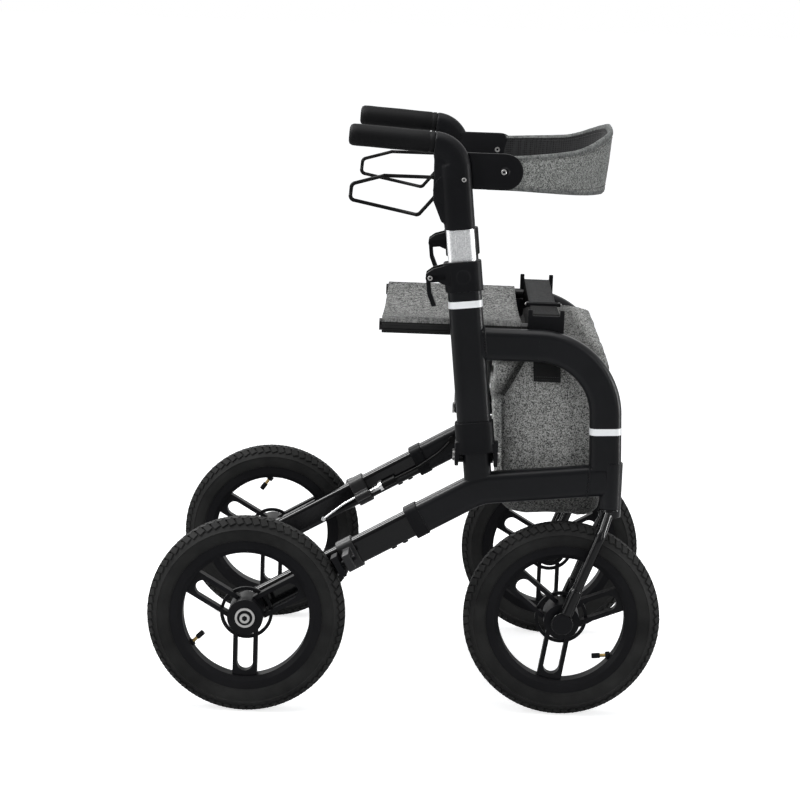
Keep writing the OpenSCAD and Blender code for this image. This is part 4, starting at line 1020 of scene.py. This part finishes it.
bm = bmesh.new()
stitch_from = STRAP_X + TAB_LEAN * 0.9 - STRAP_HALF + 0.003
for y in (-TAB_Y - 0.0009, TAB_Y + 0.0009):
    for low in (0.0035, 0.0075):
        for step in range(14):
            spot = (stitch_from + step * STITCH_PITCH, y, TAB_LOW + low)
            bead(bm, Matrix.Translation(spot), (0.0010, 0.0004, 0.0004))
stitches = to_piece("tab_stitches", bm, "right_frame", thread_black)
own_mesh(stitches)
print("strap cut", round(cut, 3), "m")

# %% [markdown]
# Grips are soft sleeves turned on the housing's spigot. Their profile swells a little for the palm,
# has a collar where it meets the housing, and ends in a rounded cap.

# %% Grips
GRIP_AT, GRIP_SLOPE = Vector((0.0201, -FRAME_HALF, 0.867)), math.radians(3.4)
# Distance along the grip and radius, in mm.
GRIP_PROFILE = [(0, 15.0), (1.2, 15.9), (6, 15.9), (7, 15.2), (8.2, 15.2), (9.5, 16), (30, 15.9), (62, 16.4),
                (98, 16.2), (114, 16.5), (122, 16.1), (125.8, 13.9), (127.2, 10), (127.5, 0)]
grip_stand = aim(GRIP_AT, (-math.cos(GRIP_SLOPE), 0, math.sin(GRIP_SLOPE)))
for side in SIDES:
    bm = turned([(radius * MM, 0, along * MM) for along, radius in GRIP_PROFILE], (0, 0, 1), 64, closed=False)
    bmesh.ops.holes_fill(bm, edges=[edge for edge in bm.edges if edge.is_boundary])
    bmesh.ops.recalc_face_normals(bm, faces=bm.faces)
    bmesh.ops.transform(bm, verts=bm.verts, matrix=grip_stand)
    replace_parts(side_piece("grip_sleeve", bm, side, "handle", grip_rubber, sharp=50), f"{side}_grip")
print("grips", len(SIDES))

# %% [markdown]
# Welded joints show a row of overlapping scales where the torch paused. A ring of small spheres
# follows the tube's outline at each joint. The reflective bands are tape: thin sleeves that stand a
# fraction of a millimetre proud of the tube.

# %% Weld beads and reflective bands
tape = shader("reflective_tape", (0.86, 0.87, 0.88), 0.35, Specular_IOR_Level=0.6)
FRAME_Y, LEAN = -FRAME_HALF, math.radians(6.3)
column_up = Vector((-math.sin(LEAN), 0, math.cos(LEAN)))
column_front = Vector((math.cos(LEAN), 0, math.sin(LEAN)))
column_at = Vector((0.1055, FRAME_Y, 0.347))
hoop_at = column_at + column_up * (0.221 / math.cos(LEAN)) + column_front * 0.0256
BEAD_R, BEAD_PITCH, WELD_CORNER, TAPE_CORNER, TAPE_TALL = 0.0019, 0.0027, 0.011, 0.0118, 0.0103
# Each weld: place, the outline's long direction, and the outline's two sizes.
WELDS = [(hoop_at, column_up, 0.0482, 0.0302),
         (Vector((0.2705, FRAME_Y, 0.3642)), Vector((0.04, 0, 1)).normalized(), 0.0483, 0.0302)]
# Each band: name, place, the tube's direction, and the outline's two sizes.
BANDS = [("column_band", column_at + column_up * 0.2827, column_up, 0.0517, 0.0327),
         ("hoop_band", Vector((0.2927, FRAME_Y, 0.4425)), Vector((-0.0419, 0, 0.999)), 0.0488, 0.0308)]


def weld(bm, at, up, tall, wide):
    """Beads round a tube's outline."""
    count = int((tall + wide) * 2 / BEAD_PITCH)
    for point in soft_rectangle(-tall / 2, tall / 2, wide / 2, WELD_CORNER, count):
        bead(bm, Matrix.Translation(at + up * point.x + ALONG_Y * point.y), (BEAD_R, BEAD_R, BEAD_R))


def band_sleeve(at, along, tall, wide):
    """A closed sleeve round a tube: a box whose long edges are rounded like the tube's."""
    bm = bmesh.new()
    up = along.normalized()
    stand = Matrix((ALONG_Y.cross(up), ALONG_Y, up)).transposed().to_4x4()
    box(bm, Matrix.Translation(at) @ stand, (tall, wide, TAPE_TALL))
    edges = [e for e in bm.edges if abs((e.verts[0].co - e.verts[1].co).normalized().dot(up)) > 0.99]
    soften(bm, edges, TAPE_CORNER, 7)
    return bm


for side in SIDES:
    bm = bmesh.new()
    for joint in WELDS:
        weld(bm, *joint)
    side_piece("welds", bm, side, "frame", powder_coat)
    for word, *sleeve in BANDS:
        side_piece(word, band_sleeve(*sleeve), side, "frame", tape)
print("welds and bands on", len(SIDES), "sides")

# %% [markdown]
# Where the brake loop goes into the housing, a round cap on each side covers its cam. The backrest's
# ends are held between the bracket and a thin plate on the inner side. Curved webs stiffen the ears
# of the height clamp. The loops are dipped in a coat that makes the wire a little thicker.

# %% Cam caps, inner plates, clamp ears and coated loops
CAM_X, CAM_Z, CAM_R, CAM_FROM, CAM_RISE = 0.0437, 0.7977, 0.0236, 0.0045, 0.0083
PLATE_AT, PLATE_R, PLATE_BACK = Vector((0.1225, 0, 0.826)), 0.0262, 0.062
PLATE_OUTER, PLATE_INNER = -0.2190, -0.2182
EAR_FROM, EAR_THICK, LOOP_COAT = 0.0123, 0.006, 0.0004
# The web's outline, x and z in mm.
CLAMP_EAR = [(50, 688), (50, 655), (40, 657.5), (31, 661.5), (24, 660), (17, 660), (13.4, 666), (14.6, 673),
             (24, 680)]


def plate_outline(y):
    turns = [math.pi * (step / 24 - 0.5) for step in range(25)]
    points = [PLATE_AT + PLATE_R * Vector((math.cos(turn), 0, math.sin(turn))) for turn in turns]
    points += [Vector((PLATE_BACK, 0, PLATE_AT.z + end * PLATE_R)) for end in (1, -1)]
    return [point + ALONG_Y * y for point in points]


def inner_plate():
    bm = bmesh.new()
    loops = loft(bm, [plate_outline(y) for y in (PLATE_OUTER, PLATE_INNER)])
    soften(bm, loops[1], 0.0003, 2)
    bmesh.ops.recalc_face_normals(bm, faces=bm.faces)
    return bm


def clamp_ears():
    bm = bmesh.new()
    for face in (-1, 1):
        loft(bm, [[(x * MM, FRAME_Y + face * off, z * MM) for x, z in CLAMP_EAR]
                  for off in (EAR_FROM, EAR_FROM + EAR_THICK)])
    bmesh.ops.recalc_face_normals(bm, faces=bm.faces)
    soften(bm, bm.edges[:], 0.0008, 2)
    return bm


for side in SIDES:
    bm = bmesh.new()
    for face in (-1, 1):
        drum(bm, (CAM_X, FRAME_Y + face * CAM_FROM, CAM_Z), (0, face, 0), CAM_R, CAM_RISE, 0.0018, sides=48)
    side_piece("cam_caps", bm, side, "handle", black_plastic)
    side_piece("inner_plate", inner_plate(), side, "handle", black_plastic)
    side_piece("clamp_ears", clamp_ears(), side, "frame", black_plastic)
    bm = merged_copy(f"{side}_brake_lever")
    bm.normal_update()
    for vert in bm.verts:
        vert.co += vert.normal * LOOP_COAT
    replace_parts(to_piece(f"{side}_loop_coat", bm, f"{side}_brake_lever", cable_sheath), f"{side}_brake_lever")
print("caps, plates and loops on", len(SIDES), "sides")

# %% [markdown]
# Screws are what the eye uses to read how a thing is held together. Each has a rounded head, and a
# flat dark hexagon on it is painted shade for its socket. On the rear axle's bolt, a dark ring is
# painted shade on the washer, and a dark hexagon is painted shade for the bolt's socket.

# %% Screws
RIGHT, INWARD = (0, -1, 0), (0, 1, 0)
# By body: place, radius, rise and the way each screw looks.
SCREWS = {"handle": [((0.1241, -0.2355, 0.826), 0.0042, 0.0018, RIGHT),
                     ((0.0653, -0.2527, 0.814), 0.0034, 0.0014, RIGHT),
                     ((PLATE_AT.x, PLATE_INNER, PLATE_AT.z), 0.0042, 0.0002, INWARD)],
          "frame": [((0.0204, -0.2543, 0.6663), 0.0036, 0.0014, RIGHT)]}
WASHER_SHADE_Y, SOCKET_SHADE_Y = -0.3103, -0.3138


def screw(bm, at, radius, rise, outward):
    """A button head at a point on a face, with a flat dark hexagon on it, painted shade for its socket."""
    at, outward = Vector(at), Vector(outward)
    drum(bm, at - outward * 0.001, outward, radius, rise + 0.001, rise * 0.45, sides=24)
    # Painted shade: a flat dark hexagon for the socket's recess.
    drum(bm, at + outward * (rise - 0.0002), outward, radius * 0.5, 0.0003, sides=6, mat=1)


for side in SIDES:
    for body, places in SCREWS.items():
        bm = bmesh.new()
        for each in places:
            screw(bm, *each)
        side_piece(f"{body}_screws", bm, side, body, steel, black_plastic)
    bm = bmesh.new()
    # Painted shade: a dark ring on the washer and a dark hexagon for the bolt's socket.
    drum(bm, (-HALF_BASE, WASHER_SHADE_Y, WHEEL_R), RIGHT, 0.0116, 0.0006, 0.0002, sides=40)
    drum(bm, (-HALF_BASE, SOCKET_SHADE_Y, WHEEL_R), RIGHT, 0.0043, 0.0004, sides=6)
    side_piece("axle_painted_shade", bm, side, "frame", black_plastic)
print("screws", len(SIDES) * sum(len(places) for places in SCREWS.values()))
